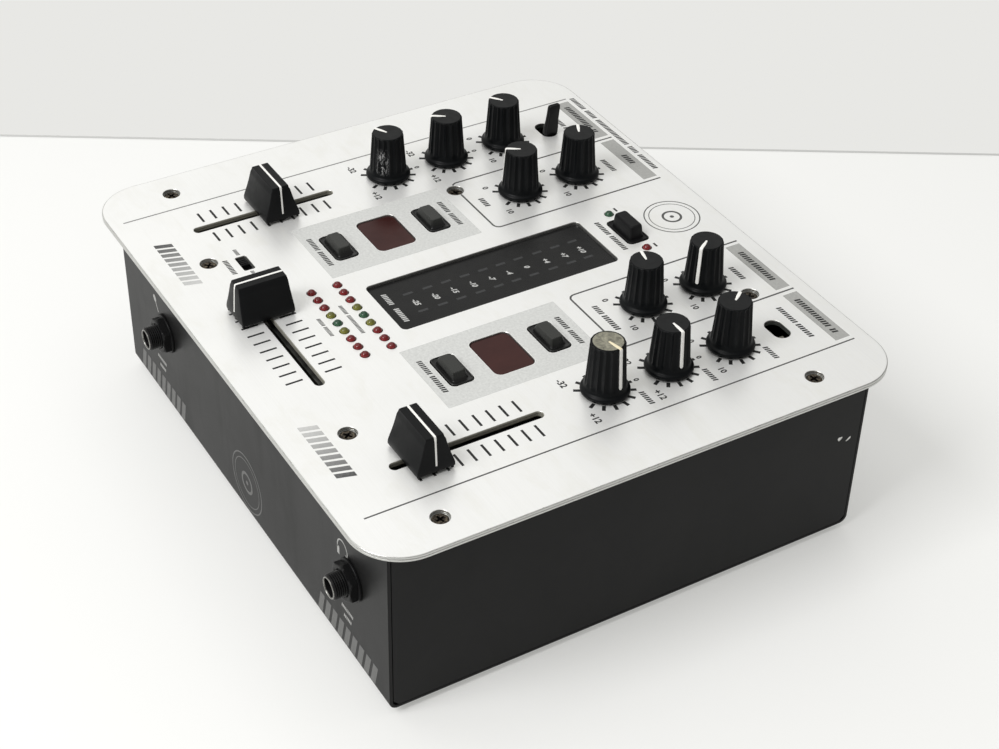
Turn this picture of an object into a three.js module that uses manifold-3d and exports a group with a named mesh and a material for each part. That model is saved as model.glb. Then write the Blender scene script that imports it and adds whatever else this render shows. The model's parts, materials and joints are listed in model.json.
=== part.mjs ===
// Two-channel tabletop audio mixer, built as an assembly of separate pieces.
// Units are millimetres, +Z is up, +Y is the back, +X is the user's right.
// The origin is at floor level under the middle of the panel.
import * as THREE from "three";
import { mergeVertices } from "three/addons/utils/BufferGeometryUtils.js";
import Module from "manifold-3d";

const wasm = await Module();
wasm.setup();

// ---------------------------------------------------------------- dimensions
// Casing
const FOOT_H = 2.5, FOOT_R = 8, FOOT_X = 88, FOOT_Y = 74;
const CASE_W = 213.6, CASE_D = 185.6, CASE_H = 70, SHEET = 1.2, BEND_R = 3;
const PANEL_W = 231.2, PANEL_D = 202.6, PANEL_T = 2, PANEL_R = 18;
const GAP = 0.2; // air between pieces that rest on each other
const Z_BOTTOM = FOOT_H; // underside of the casing
const Z_CASE = Z_BOTTOM + CASE_H; // underside of the panel
const Z_TOP = Z_CASE + PANEL_T; // top face of the panel
// Rotary controls
const KNOB_H = 18.9, KNOB_SKIRT_R = 8.2, KNOB_TOP_R = 5.9, KNOB_GAP = 0.5;
const SHAFT_R = 3, SHAFT_LEN = 15.5;
const KNOB_COL = 76, KNOB_ROW = [4.7, 30.1, 55.5]; // outer columns: low, high, gain
const LEVEL_COL = 41.7, LEVEL_ROW = [42.9, 68.3]; // inner columns
const WORN_KNOB_EXTRA = 1.6; // the one knob that stands taller
// Faders
const FADER_X = 76, FADER_Y = -47.3, CROSS_Y = -75.3, TRAVEL = 45;
const SLOT_L = 56.2, SLOT_W = 3.5;
const CAP_L = 19.9, CAP_W = 13.7, CAP_TOP_L = 18.3, CAP_TOP_W = 6.4, CAP_Z = 1.2, CAP_H = 13.3;
const CH1_FADER_AT = 3.1, CH2_FADER_AT = -16.9, CROSS_AT = -18.7; // where each stands along its travel
// Push buttons
const BUTTON_W = 16.8, BUTTON_D = 9.1, BUTTON_R = 2, BUTTON_TRAVEL = 1.2;
const SYNC_Y = 4.25, ASSIST_Y = -33.8, METER_BUTTON_Y = 64.05;
// Windows
const TEMPO_W = 20.8, TEMPO_D = 15.5, TEMPO_Y = -14.45, METER_W = 29, METER_D = 88.4, METER_Y = 6.8;
// Indicator lights
const LED_R = 1.5, LED_PITCH = 5.08, LED_ROW = [-45.1, -55.2], LED_UP = 1.3, STATUS_X = 12.6, STATUS_Y = 64.1;
// Toggle and slide switches
const SOURCE_Y = 75.5, SOURCE_L = 10.8, SOURCE_W = 6.3, LEVER_TILT = 9.7, LEVER_PIVOT = 17, LEVER_LEN = 31.6;
const CURVE_X = -48.5, CURVE_Y = -67.7, CURVE_L = 8.9, CURVE_W = 4.1;
// Screws
const SCREWS = [
  [-103.5, -72.7], [103.5, -72.7], [-103.5, 70.2], [103.5, 70.2],
  [-54.4, -79.1], [54.4, -79.1], [-54.4, 79.7], [54.4, 79.7], [-54.4, 21.9], [54.4, 21.9],
];
const RECESS_R = 3.2, RECESS_DEPTH = 1.4, HEAD_R = 2.9, HEAD_H = 0.9, SHANK_R = 1.4;
// Front sockets
const MIC_X = -67.6, PHONES_X = 82, JACK_Z = Z_TOP - 34.6, JACK_OUT = 8.4, JACK_BARREL_R = 4.5, JACK_BORE_R = 3.28;
const NUT_AF = 12.7, NUT_T = 3.2;
// Boards
const BOARD_Z = 55, BOARD_T = 1.6;
const BOARD_TOP = BOARD_Z + BOARD_T;
// Rear connectors
const RCA_X = [10, 26, 42, 58], RCA_Z = [30, 46], RCA_R = 4.1, RCA_OUT = 8, POWER_X = -66, POWER_Z = 38;

// ------------------------------------------------------------------- helpers
const group = new THREE.Group();
const deg = Math.PI / 180;

function solid(geometry) {
  const g = geometry.clone();
  g.deleteAttribute("normal");
  g.deleteAttribute("uv");
  const m = mergeVertices(g, 1e-4);
  return new wasm.Manifold(new wasm.Mesh({
    numProp: 3,
    vertProperties: new Float32Array(m.attributes.position.array),
    triVerts: new Uint32Array(m.index.array),
  }));
}
function shapeOf(manifold) {
  const m = manifold.getMesh(), n = m.numProp, v = new Float32Array(m.numVert * 3);
  for (let i = 0; i < m.numVert; i++) v.set(m.vertProperties.subarray(i * n, i * n + 3), i * 3);
  const g = new THREE.BufferGeometry();
  g.setAttribute("position", new THREE.BufferAttribute(v, 3));
  g.setIndex(new THREE.BufferAttribute(new Uint32Array(m.triVerts), 1));
  g.computeVertexNormals();
  return g;
}
const join = (...parts) => parts.slice(1).reduce((a, b) => a.add(b), parts[0]);
const cut = (from, ...tools) => tools.reduce((a, b) => a.subtract(b), from);

function box(x0, x1, y0, y1, z0, z1) {
  const g = new THREE.BoxGeometry(x1 - x0, y1 - y0, z1 - z0);
  g.translate((x0 + x1) / 2, (y0 + y1) / 2, (z0 + z1) / 2);
  return solid(g);
}
// An upright cylinder, drawn so that its flats sit symmetrically.
function rod(x, y, r, z0, z1, sides = 16) {
  const g = new THREE.CylinderGeometry(r, r, z1 - z0, sides);
  g.rotateX(Math.PI / 2);
  g.rotateZ(Math.PI / sides);
  g.translate(x, y, (z0 + z1) / 2);
  return solid(g);
}
// A cylinder lying along Y.
function rodY(x, z, r, y0, y1, sides = 16) {
  const g = new THREE.CylinderGeometry(r, r, y1 - y0, sides);
  g.rotateY(Math.PI / sides);
  g.translate(x, (y0 + y1) / 2, z);
  return solid(g);
}
function roundedRect(target, cx, cy, w, d, r, steps = 3) {
  const x = w / 2, y = d / 2;
  const corners = [[x - r, y - r, 0], [-x + r, y - r, 90], [-x + r, -y + r, 180], [x - r, -y + r, 270]];
  const pts = [];
  for (const [px, py, a] of corners)
    for (let i = 0; i <= steps; i++) {
      const t = (a + (90 * i) / steps) * deg;
      pts.push(new THREE.Vector2(cx + px + r * Math.cos(t), cy + py + r * Math.sin(t)));
    }
  target.setFromPoints(pts);
  return target;
}
function circle(target, cx, cy, r, sides) {
  const pts = [];
  for (let i = 0; i < sides; i++) {
    const t = (2 * Math.PI * (i + 0.5)) / sides;
    pts.push(new THREE.Vector2(cx + r * Math.cos(t), cy + r * Math.sin(t)));
  }
  target.setFromPoints(pts);
  return target;
}
const slab = (shape, z0, z1) => {
  const g = new THREE.ExtrudeGeometry(shape, { depth: z1 - z0, bevelEnabled: false, curveSegments: 4 });
  g.translate(0, 0, z0);
  return g;
};
// A four-sided block that narrows from its base to its top.
function taper(w0, d0, w1, d1, z0, z1) {
  const g = new THREE.BoxGeometry(1, 1, 1);
  const p = g.attributes.position;
  for (let i = 0; i < p.count; i++) {
    const top = p.getZ(i) > 0;
    p.setXYZ(i, p.getX(i) * (top ? w1 : w0), p.getY(i) * (top ? d1 : d0), top ? z1 : z0);
  }
  return solid(g);
}
function lathe(profile, sides) {
  const g = new THREE.LatheGeometry(profile.map(([r, z]) => new THREE.Vector2(r, z)), sides);
  g.rotateX(Math.PI / 2);
  return g;
}
function material(color, roughness, metalness = 0) {
  return new THREE.MeshStandardMaterial({ color, roughness, metalness });
}
function add(name, geometry, mat, at = [0, 0, 0], parent = group) {
  const mesh = new THREE.Mesh(geometry, mat);
  mesh.name = name;
  mesh.position.set(...at);
  parent.add(mesh);
  return mesh;
}

// ----------------------------------------------------------------- top panel
{
  const s = roundedRect(new THREE.Shape(), 0, 0, PANEL_W, PANEL_D, PANEL_R, 7);
  const hole = (make) => s.holes.push(make(new THREE.Path()));
  for (const side of [-1, 1]) {
    for (const y of KNOB_ROW) hole((p) => circle(p, side * KNOB_COL, y, 3.9, 12));
    for (const y of LEVEL_ROW) hole((p) => circle(p, side * LEVEL_COL, y, 3.9, 12));
    hole((p) => roundedRect(p, side * FADER_X, FADER_Y, SLOT_W, SLOT_L, SLOT_W / 2 - 0.01, 3));
    hole((p) => roundedRect(p, side * KNOB_COL, SOURCE_Y, SOURCE_L, SOURCE_W, SOURCE_W / 2 - 0.01, 3));
    for (const y of [SYNC_Y, ASSIST_Y]) hole((p) => roundedRect(p, side * LEVEL_COL, y, BUTTON_W, BUTTON_D, BUTTON_R, 2));
    hole((p) => roundedRect(p, side * LEVEL_COL, TEMPO_Y, TEMPO_W, TEMPO_D, 2.6, 3));
    hole((p) => circle(p, side * STATUS_X, STATUS_Y, LED_R + 0.25, 10));
  }
  hole((p) => roundedRect(p, 0, CROSS_Y, SLOT_L, SLOT_W, SLOT_W / 2 - 0.01, 3));
  hole((p) => roundedRect(p, 0, METER_BUTTON_Y, BUTTON_W, BUTTON_D, BUTTON_R, 2));
  hole((p) => roundedRect(p, 0, METER_Y, METER_W, METER_D, 2, 3));
  hole((p) => roundedRect(p, CURVE_X, CURVE_Y, CURVE_L, CURVE_W, 0.6, 1));
  for (const y of LED_ROW)
    for (let i = -4; i <= 4; i++) hole((p) => circle(p, i * LED_PITCH, y, LED_R + 0.3, 8));
  for (const [x, y] of SCREWS) hole((p) => circle(p, x, y, 1.8, 8));
  let body = solid(slab(s, Z_CASE, Z_TOP));
  for (const [x, y] of SCREWS) body = body.subtract(rod(x, y, RECESS_R, Z_TOP - RECESS_DEPTH, Z_TOP + 1, 14));
  add("top_panel", shapeOf(body), material(0xdddddb, 0.34, 0.9));
}

// -------------------------------------------------------------------- casing
const caseMat = () => material(0x1f1f20, 0.62, 0.1);
const X0 = CASE_W / 2, Y0 = CASE_D / 2, Z1 = Z_CASE - GAP;
{
  // One sheet folded into front, bottom and rear walls.
  const arc = (cy, cz, r, a0, a1, n = 4) =>
    Array.from({ length: n + 1 }, (_, i) => {
      const t = (a0 + ((a1 - a0) * i) / n) * deg;
      return [cy + r * Math.cos(t), cz + r * Math.sin(t)];
    });
  const zb = Z_BOTTOM + BEND_R, ri = BEND_R - SHEET;
  const outline = [
    [-Y0, Z1], ...arc(-Y0 + BEND_R, zb, BEND_R, 180, 270), ...arc(Y0 - BEND_R, zb, BEND_R, 270, 360), [Y0, Z1],
    [Y0 - SHEET, Z1], ...arc(Y0 - BEND_R, zb, ri, 360, 270), ...arc(-Y0 + BEND_R, zb, ri, 270, 180), [-Y0 + SHEET, Z1],
  ];
  const s = new THREE.Shape(outline.map(([a, b]) => new THREE.Vector2(a, b)));
  const g = new THREE.ExtrudeGeometry(s, { depth: CASE_W, bevelEnabled: false });
  g.translate(0, 0, -CASE_W / 2);
  g.applyMatrix4(new THREE.Matrix4().makeBasis(new THREE.Vector3(0, 1, 0), new THREE.Vector3(0, 0, 1), new THREE.Vector3(1, 0, 0)));
  let tub = join(
    solid(g),
    box(-X0 + 1.6, X0 - 1.6, -Y0, -Y0 + 9, Z1 - SHEET, Z1),
    box(-X0 + 1.6, X0 - 1.6, Y0 - 9, Y0, Z1 - SHEET, Z1),
  );
  const wall = 3;
  for (const x of [MIC_X, PHONES_X]) tub = tub.subtract(rodY(x, JACK_Z, JACK_BARREL_R + 0.3, -Y0 - wall, -Y0 + wall));
  for (const x of RCA_X) for (const z of RCA_Z) tub = tub.subtract(rodY(x, z, RCA_R + 0.4, Y0 - wall, Y0 + wall, 12));
  tub = tub.subtract(rodY(76, 24, 2.4, Y0 - wall, Y0 + wall, 10));
  tub = tub.subtract(box(POWER_X - 22.4, POWER_X + 22.4, Y0 - wall, Y0 + wall, POWER_Z - 7.4, POWER_Z + 7.4));
  add("chassis_tub", shapeOf(tub), caseMat());

  for (const side of [-1, 1]) {
    const a = X0 - SHEET, yw = Y0 - SHEET - GAP, c = 2;
    // The wall's lower corners follow the bends of the folded sheet.
    const w = new THREE.Shape([
      [-yw, Z1], [-yw, Z_BOTTOM + SHEET + GAP + c], [-yw + c, Z_BOTTOM + SHEET + GAP], [yw - c, Z_BOTTOM + SHEET + GAP],
      [yw, Z_BOTTOM + SHEET + GAP + c], [yw, Z1],
    ].map(([p, q]) => new THREE.Vector2(p, q)));
    const wg = new THREE.ExtrudeGeometry(w, { depth: SHEET, bevelEnabled: false });
    wg.applyMatrix4(new THREE.Matrix4().makeBasis(new THREE.Vector3(0, 1, 0), new THREE.Vector3(0, 0, 1), new THREE.Vector3(1, 0, 0)));
    wg.translate(side > 0 ? a : -X0, 0, 0);
    // The side walls stop short of the top flanges of the folded sheet.
    const lip = side > 0 ? box(96, X0, -82, 82, Z1 - SHEET, Z1) : box(-X0, -96, -82, 82, Z1 - SHEET, Z1);
    let plate = solid(wg).add(lip);
    for (const [x, y] of SCREWS)
      if (x * side > 90) plate = plate.subtract(rod(x, y, 1.8, Z1 - 3, Z1 + 1, 8));
    add(side > 0 ? "side_plate_right" : "side_plate_left", shapeOf(plate), caseMat());
  }
  for (const [name, x, y] of [["foot_front_left", -1, -1], ["foot_front_right", 1, -1], ["foot_rear_left", -1, 1], ["foot_rear_right", 1, 1]])
    add(name, lathe([[0, 0], [FOOT_R - 0.8, 0], [FOOT_R, 0.8], [FOOT_R, FOOT_H - 0.05], [0, FOOT_H - 0.05]], 16), material(0x141414, 0.85), [x * FOOT_X, y * FOOT_Y, 0]);
}

// -------------------------------------------------------------- panel screws
SCREWS.forEach(([x, y], i) => {
  const z = Z_TOP - RECESS_DEPTH + 0.02;
  add(
    "panel_screw_" + String(i + 1).padStart(2, "0"),
    lathe([[0, -9], [SHANK_R, -9], [SHANK_R, 0], [HEAD_R, 0], [HEAD_R * 0.86, HEAD_H], [0, HEAD_H]], 10),
    material(0x4b4a46, 0.4, 0.9),
    [x, y, z],
  );
});

// -------------------------------------------------------------- rotary knobs
const KNOBS = [
  ["ch1_low_knob", -KNOB_COL, KNOB_ROW[0], 0], ["ch1_high_knob", -KNOB_COL, KNOB_ROW[1], 0], ["ch1_gain_knob", -KNOB_COL, KNOB_ROW[2], 0],
  ["ch2_low_knob", KNOB_COL, KNOB_ROW[0], WORN_KNOB_EXTRA], ["ch2_high_knob", KNOB_COL, KNOB_ROW[1], 0], ["ch2_gain_knob", KNOB_COL, KNOB_ROW[2], 0],
  ["cue_mix_knob", -LEVEL_COL, LEVEL_ROW[0], 0], ["cue_level_knob", -LEVEL_COL, LEVEL_ROW[1], 0],
  ["mic_level_knob", LEVEL_COL, LEVEL_ROW[0], 0], ["main_level_knob", LEVEL_COL, LEVEL_ROW[1], 0],
];
for (const [name, x, y, extra] of KNOBS) {
  const h = KNOB_H + extra;
  add(
    name,
    lathe([
      [0, -SHAFT_LEN], [SHAFT_R, -SHAFT_LEN], [SHAFT_R, KNOB_GAP], [KNOB_SKIRT_R - 0.3, KNOB_GAP], [KNOB_SKIRT_R, 1.4],
      [KNOB_SKIRT_R - 0.9, 4.2], [KNOB_TOP_R + 0.1, h - 0.8], [KNOB_TOP_R - 0.7, h], [0, h],
    ], 20),
    material(0x17181a, 0.55),
    [x, y, Z_TOP],
  );
}

// -------------------------------------------------------------------- faders
// Each fader: a housing under the panel, a carriage with a blade, and a cap.
// Local X runs across the slot and local Y along it, with the slot's middle at the origin.
function fader(name, at, turn, where) {
  const g = new THREE.Group();
  g.position.set(at[0], at[1], 0);
  g.rotation.z = turn;
  group.add(g);
  const z0 = BOARD_TOP + GAP, z1 = 70.4;
  const housing = cut(
    box(-5.5, 5.5, -30.5, 30.5, z0, z1),
    box(-4, 4, -28.5, 28.5, z0 + 1.6, z1 - 1.2),
    box(-1.4, 1.4, -27, 27, z1 - 2, z1 + 1),
  );
  add(name + "_housing", shapeOf(housing), material(0x8d8d88, 0.45, 0.8), [0, 0, 0], g);
  const blade = 0.6;
  const carriage = join(box(-3.6, 3.6, -4, 4, z0 + 2.2, z1 - 1.8), box(-blade, blade, -2.2, 2.2, z1 - 2, Z_TOP + CAP_Z + 8.2));
  add(name + "_carriage", shapeOf(carriage), material(0xb8b8b0, 0.4, 0.9), [0, where, 0], g);
  const base = Z_TOP + CAP_Z;
  const cap = cut(
    taper(CAP_L, CAP_W, CAP_TOP_L, CAP_TOP_W, base, base + CAP_H),
    box(-blade - 0.12, blade + 0.12, -2.32, 2.32, base - 1, base + 8.5),
  );
  add(name + "_cap", shapeOf(cap), material(0x1b1b1c, 0.5), [0, where, 0], g);
}
fader("ch1_fader", [-FADER_X, FADER_Y], 0, CH1_FADER_AT);
fader("ch2_fader", [FADER_X, FADER_Y], 0, CH2_FADER_AT);
fader("crossfader", [0, CROSS_Y], -Math.PI / 2, CROSS_AT);

// -------------------------------------------------------------- push buttons
const BUTTONS = [
  ["ch1_sync_button", -LEVEL_COL, SYNC_Y, false], ["ch1_beat_button", -LEVEL_COL, ASSIST_Y, false],
  ["ch2_sync_button", LEVEL_COL, SYNC_Y, false], ["ch2_beat_button", LEVEL_COL, ASSIST_Y, false],
  ["meter_button", 0, METER_BUTTON_Y, true],
];
for (const [name, x, y, tall] of BUTTONS) {
  const rim = solid(slab(roundedRect(new THREE.Shape(), 0, 0, BUTTON_W - 0.4, BUTTON_D - 0.4, BUTTON_R - 0.2, 2), -1.6, 0.3));
  const cap = tall ? taper(12, 5.6, 11.2, 4.8, 0, 5.3) : taper(14.4, 7.4, 9.8, 4.4, 0, 3);
  const body = join(rim, cap, box(-9.2, 9.2, -5.2, 5.2, -4.6, -3.5), box(-2.5, 2.5, -2.5, 2.5, -12, -1.5), box(-7.2, 7.2, -3.4, 3.4, -3.6, -1.5));
  add(name, shapeOf(body), material(tall ? 0x161617 : 0x2c2d2b, tall ? 0.5 : 0.4), [x, y, Z_TOP]);
}

// ------------------------------------------------------------ source levers
function sourceLever(name, x, tilt, full) {
  const g = new THREE.Group();
  g.position.set(x, SOURCE_Y, Z_TOP - LEVER_PIVOT);
  g.rotation.y = tilt * deg;
  group.add(g);
  const bat = new THREE.BoxGeometry(1, 1, 1);
  const p = bat.attributes.position, z0 = 18.6, z1 = LEVER_LEN;
  for (let i = 0; i < p.count; i++) {
    const top = p.getZ(i) > 0;
    p.setXYZ(i, p.getX(i) * (top ? 2.2 : 3), p.getY(i) * (top ? 5.2 : 6.2), top ? z1 : z0);
  }
  const stem = box(-1.1, 1.1, -1.6, 1.6, -0.2, full ? 19 : 14.6);
  add(name, shapeOf(full ? stem.add(solid(bat)) : stem), material(full ? 0x161616 : 0x35342f, 0.5), [0, 0, 0], g);
}
sourceLever("ch1_source_lever", -KNOB_COL, LEVER_TILT, true);
sourceLever("ch2_source_lever", KNOB_COL, LEVER_TILT, false);

// ------------------------------------------------------ crossfader curve slide
add(
  "curve_slider",
  shapeOf(join(box(-2, 2, -1.6, 1.6, -2.8, -0.7), box(-5.4, 5.4, -3.4, 3.4, -3.6, -2.6), box(-1.2, 1.2, -1.2, 1.2, -10, -3))),
  material(0x121212, 0.5),
  [CURVE_X - 1.9, CURVE_Y, Z_TOP],
);

// -------------------------------------------------------------------- windows
function lens(name, x, y, w, d, r, sunk, color) {
  const flange = solid(slab(roundedRect(new THREE.Shape(), 0, 0, w + 3.4, d + 3.4, r + 1, 1), -3.6, -PANEL_T - GAP));
  const boss = solid(slab(roundedRect(new THREE.Shape(), 0, 0, w - 0.4, d - 0.4, r - 0.2, 3), -3, -sunk));
  add(name, shapeOf(flange.add(boss)), material(color, 0.12), [x, y, Z_TOP]);
}
lens("ch1_tempo_window", -LEVEL_COL, TEMPO_Y, TEMPO_W, TEMPO_D, 2.6, 0.5, 0x3c1f20);
lens("ch2_tempo_window", LEVEL_COL, TEMPO_Y, TEMPO_W, TEMPO_D, 2.6, 0.5, 0x3c1f20);
lens("level_meter_window", 0, METER_Y, METER_W, METER_D, 2, 1.2, 0x1c1d1e);

// ----------------------------------------------------------- indicator lights
const ledProfile = (down) => [[0, -down], [LED_R, -down], [LED_R, LED_UP - 1.2], [LED_R * 0.8, LED_UP - 0.35], [0, LED_UP]];
{
  // Two rows of nine lamps held by one moulded spacer block that stands on the board.
  const mid = (LED_ROW[0] + LED_ROW[1]) / 2;
  let strip = box(-24, 24, mid - 7.6, mid + 7.6, BOARD_TOP + GAP, Z_TOP - 4.5);
  for (const y of LED_ROW)
    for (let i = -4; i <= 4; i++) {
      const lamp = lathe(ledProfile(5), 8);
      lamp.translate(i * LED_PITCH, y, Z_TOP);
      strip = strip.add(solid(lamp));
    }
  add("tempo_led_array", shapeOf(strip), material(0x7a2424, 0.25));
  for (const [name, x, color] of [["status_led_green", -STATUS_X, 0x2f6b3f], ["status_led_red", STATUS_X, 0x7d1f22]])
    add(name, lathe([[0, -17.6], [1.1, -17.6], [1.1, -6], ...ledProfile(6).slice(1)], 10), material(color, 0.25), [x, STATUS_Y, Z_TOP]);
}

// --------------------------------------------------------------- front sockets
for (const [name, x] of [["mic", MIC_X], ["phones", PHONES_X]]) {
  const yf = -CASE_D / 2;
  const jack = cut(
    join(rodY(x, JACK_Z, JACK_BARREL_R, yf - JACK_OUT, yf + 4), box(x - 7.6, x + 7.6, yf + SHEET + 0.4, yf + 27, JACK_Z - 7.6, JACK_Z + 7.6)),
    rodY(x, JACK_Z, JACK_BORE_R, yf - JACK_OUT - 1, yf + 25),
  );
  add(name + "_jack", shapeOf(jack), material(0x141414, 0.5));
  const ring = cut(
    join(rodY(x, JACK_Z, NUT_AF / Math.sqrt(3), yf - GAP - 0.8 - NUT_T + 0.4, yf - GAP - 0.7, 6), rodY(x, JACK_Z, 7.6, yf - GAP - 0.9, yf - GAP)),
    rodY(x, JACK_Z, JACK_BARREL_R + 0.3, yf - 6, yf + 1),
  );
  add(name + "_jack_nut", shapeOf(ring), material(0x111111, 0.55));
}

// --------------------------------------------------------------- control board
{
  const t = BOARD_TOP - 0.1;
  let board = box(-94, 94, -84, 86, BOARD_Z, BOARD_TOP);
  const bores = [];
  for (const [, x, y] of KNOBS) {
    board = join(board, box(x - 6.5, x + 6.5, y - 6.5, y + 6.5, t, 64), rod(x, y, 5, 63.9, Z_CASE - 0.3, 10));
    bores.push(rod(x, y, SHAFT_R + 0.25, Z_TOP - SHAFT_LEN - 0.6, Z_CASE + 1, 12));
  }
  for (const [, x, y] of BUTTONS) board = board.add(box(x - 4, x + 4, y - 4, y + 4, t, Z_TOP - 12 - BUTTON_TRAVEL - 0.3));
  for (const side of [-1, 1]) {
    const x = side * KNOB_COL;
    board = board.add(box(x - 7.5, x + 7.5, SOURCE_Y - 4.5, SOURCE_Y + 4.5, t, 66));
    bores.push(box(x - 5.5, x + 5.5, SOURCE_Y - 2.2, SOURCE_Y + 2.2, 56.8, 67));
    board = board.add(box(side * LEVEL_COL - 9.5, side * LEVEL_COL + 9.5, TEMPO_Y - 7, TEMPO_Y + 7, t, Z_TOP - 4));
  }
  board = board.add(box(-12, 12, METER_Y - 42, METER_Y + 42, t, Z_TOP - 4));
  board = board.add(box(CURVE_X - 6, CURVE_X + 6, CURVE_Y - 3.5, CURVE_Y + 3.5, t, Z_TOP - 6));
  bores.push(box(CURVE_X - 4.8, CURVE_X + 4.8, CURVE_Y - 1.5, CURVE_Y + 1.5, 62, 70));
  for (const [x, y] of SCREWS)
    if (Math.abs(x) < 90) {
      board = board.add(rod(x, y, 3.2, t, Z_CASE - 0.3, 8));
      bores.push(rod(x, y, SHANK_R + 0.3, Z_CASE - 10, Z_CASE + 1, 8));
    }
  add("control_board", shapeOf(cut(board, ...bores)), material(0x2f5b3a, 0.5));
}

// --------------------------------------------------------------- rear sockets
{
  const yr = CASE_D / 2, inner = yr - SHEET - 0.4;
  let block = box(1, 81, inner - 14, inner, 20, 54);
  const bores = [];
  for (const x of RCA_X)
    for (const z of RCA_Z) {
      block = block.add(rodY(x, z, RCA_R, inner - 1, yr + RCA_OUT, 12));
      bores.push(rodY(x, z, 1.6, inner - 6, yr + RCA_OUT + 1, 6));
    }
  block = block.add(rodY(76, 24, 2, inner - 1, yr + 6.5, 10));
  add("rca_socket_block", shapeOf(cut(block, ...bores)), material(0x202020, 0.5));
  add("connector_board", shapeOf(join(box(-8, 84, inner - 16.1, inner - 14.4, 12, 52), box(20, 60, inner - 40, inner - 16, 18, 19.6))), material(0x2f5b3a, 0.5));

  // Low-voltage inlet with three pins, and the opening for the rocker beside it.
  const px = POWER_X, pz = POWER_Z;
  let inlet = join(
    box(px - 22, px + 22, yr - 14, yr + 1.2, pz - 7, pz + 7),
    box(px - 24, px + 24, yr + GAP, yr + 1.6, pz - 9, pz + 9),
  );
  inlet = cut(inlet, box(px + 3, px + 17, yr - 9, yr + 3, pz - 4.5, pz + 4.5), box(px - 17, px - 3, yr - 12, yr + 3, pz - 4.6, pz + 4.6));
  for (const d of [-4, 0, 4]) inlet = inlet.add(rodY(px + 10 + d, pz + (d === 0 ? 1.6 : -1.2), 0.8, yr - 10, yr - 3.6, 8));
  add("power_inlet", shapeOf(inlet), material(0x151515, 0.55));
  const rocker = new THREE.Group();
  rocker.position.set(px - 10, yr - 1.5, pz);
  rocker.rotation.z = 7 * deg;
  group.add(rocker);
  add("power_rocker", shapeOf(taperY(12.4, 8.2, 4.2)), material(0x101010, 0.4), [0, 0, 0], rocker);
}
// A rocker: a shallow V-shaped face on a block that reaches inwards.
function taperY(w, h, out) {
  const s = new THREE.Shape([[-w / 2, -4], [w / 2, -4], [w / 2, out], [0, out - 1.2], [-w / 2, out]].map(([a, b]) => new THREE.Vector2(a, b)));
  const g = new THREE.ExtrudeGeometry(s, { depth: h, bevelEnabled: false });
  g.translate(0, 0, -h / 2);
  return solid(g);
}

export default group;
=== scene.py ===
# Looks of the two-channel mixer. Lengths inside the builders are millimetres, and objects are in metres.
import bpy, bmesh, json, math, random
from mathutils import Vector, Matrix, noise
from mathutils.geometry import delaunay_2d_cdt

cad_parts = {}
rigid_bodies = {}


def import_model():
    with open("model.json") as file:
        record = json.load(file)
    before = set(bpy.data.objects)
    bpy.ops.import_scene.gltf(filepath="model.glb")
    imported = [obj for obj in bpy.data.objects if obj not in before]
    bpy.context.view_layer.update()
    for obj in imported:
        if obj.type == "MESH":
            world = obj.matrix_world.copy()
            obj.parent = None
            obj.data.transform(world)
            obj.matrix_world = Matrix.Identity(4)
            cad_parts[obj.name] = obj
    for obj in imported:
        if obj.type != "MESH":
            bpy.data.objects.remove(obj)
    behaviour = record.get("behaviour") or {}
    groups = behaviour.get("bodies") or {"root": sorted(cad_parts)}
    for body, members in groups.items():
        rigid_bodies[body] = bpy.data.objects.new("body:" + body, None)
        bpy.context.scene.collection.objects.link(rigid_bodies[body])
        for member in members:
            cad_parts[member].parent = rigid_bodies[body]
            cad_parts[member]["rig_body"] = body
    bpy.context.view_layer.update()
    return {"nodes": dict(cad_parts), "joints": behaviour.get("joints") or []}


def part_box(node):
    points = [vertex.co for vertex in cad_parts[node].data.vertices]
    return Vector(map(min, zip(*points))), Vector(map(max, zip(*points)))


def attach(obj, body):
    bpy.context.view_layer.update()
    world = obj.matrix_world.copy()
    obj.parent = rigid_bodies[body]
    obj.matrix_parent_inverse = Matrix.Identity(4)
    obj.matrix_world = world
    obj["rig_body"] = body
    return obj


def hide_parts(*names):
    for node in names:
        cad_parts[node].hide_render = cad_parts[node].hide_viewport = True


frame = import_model()
random.seed(7)
MM = 0.001
NODES = frame["nodes"]
JOINTS = {j["name"]: j for j in frame["joints"]}
BODY_OF = {n: o["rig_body"] for n, o in NODES.items()}


def B(node):
    lo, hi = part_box(node)
    return lo * 1000, hi * 1000


def mid(node):
    lo, hi = B(node)
    return (lo + hi) / 2


ZT = B("top_panel")[1].z  # top face of the panel
PW = B("top_panel")[1].x * 2
PD = B("top_panel")[1].y * 2
PT = B("top_panel")[1].z - B("top_panel")[0].z
CX1 = B("chassis_tub")[1].x
YF, YR = B("chassis_tub")[0].y, B("chassis_tub")[1].y
ZB = B("chassis_tub")[0].z

# ---------------------------------------------------------------- materials
def new_mat(name, base, rough, metal=0.0, spec=0.5, coat=0.0, coat_rough=0.1, ior=1.5):
    m = bpy.data.materials.new(name)
    m.use_nodes = True
    p = m.node_tree.nodes["Principled BSDF"]
    p.inputs["Base Color"].default_value = (*base, 1)
    p.inputs["Roughness"].default_value = rough
    p.inputs["Metallic"].default_value = metal
    p.inputs["Specular IOR Level"].default_value = spec
    p.inputs["IOR"].default_value = ior
    p.inputs["Coat Weight"].default_value = coat
    p.inputs["Coat Roughness"].default_value = coat_rough
    m.diffuse_color = (*base, 1)
    return m


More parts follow.
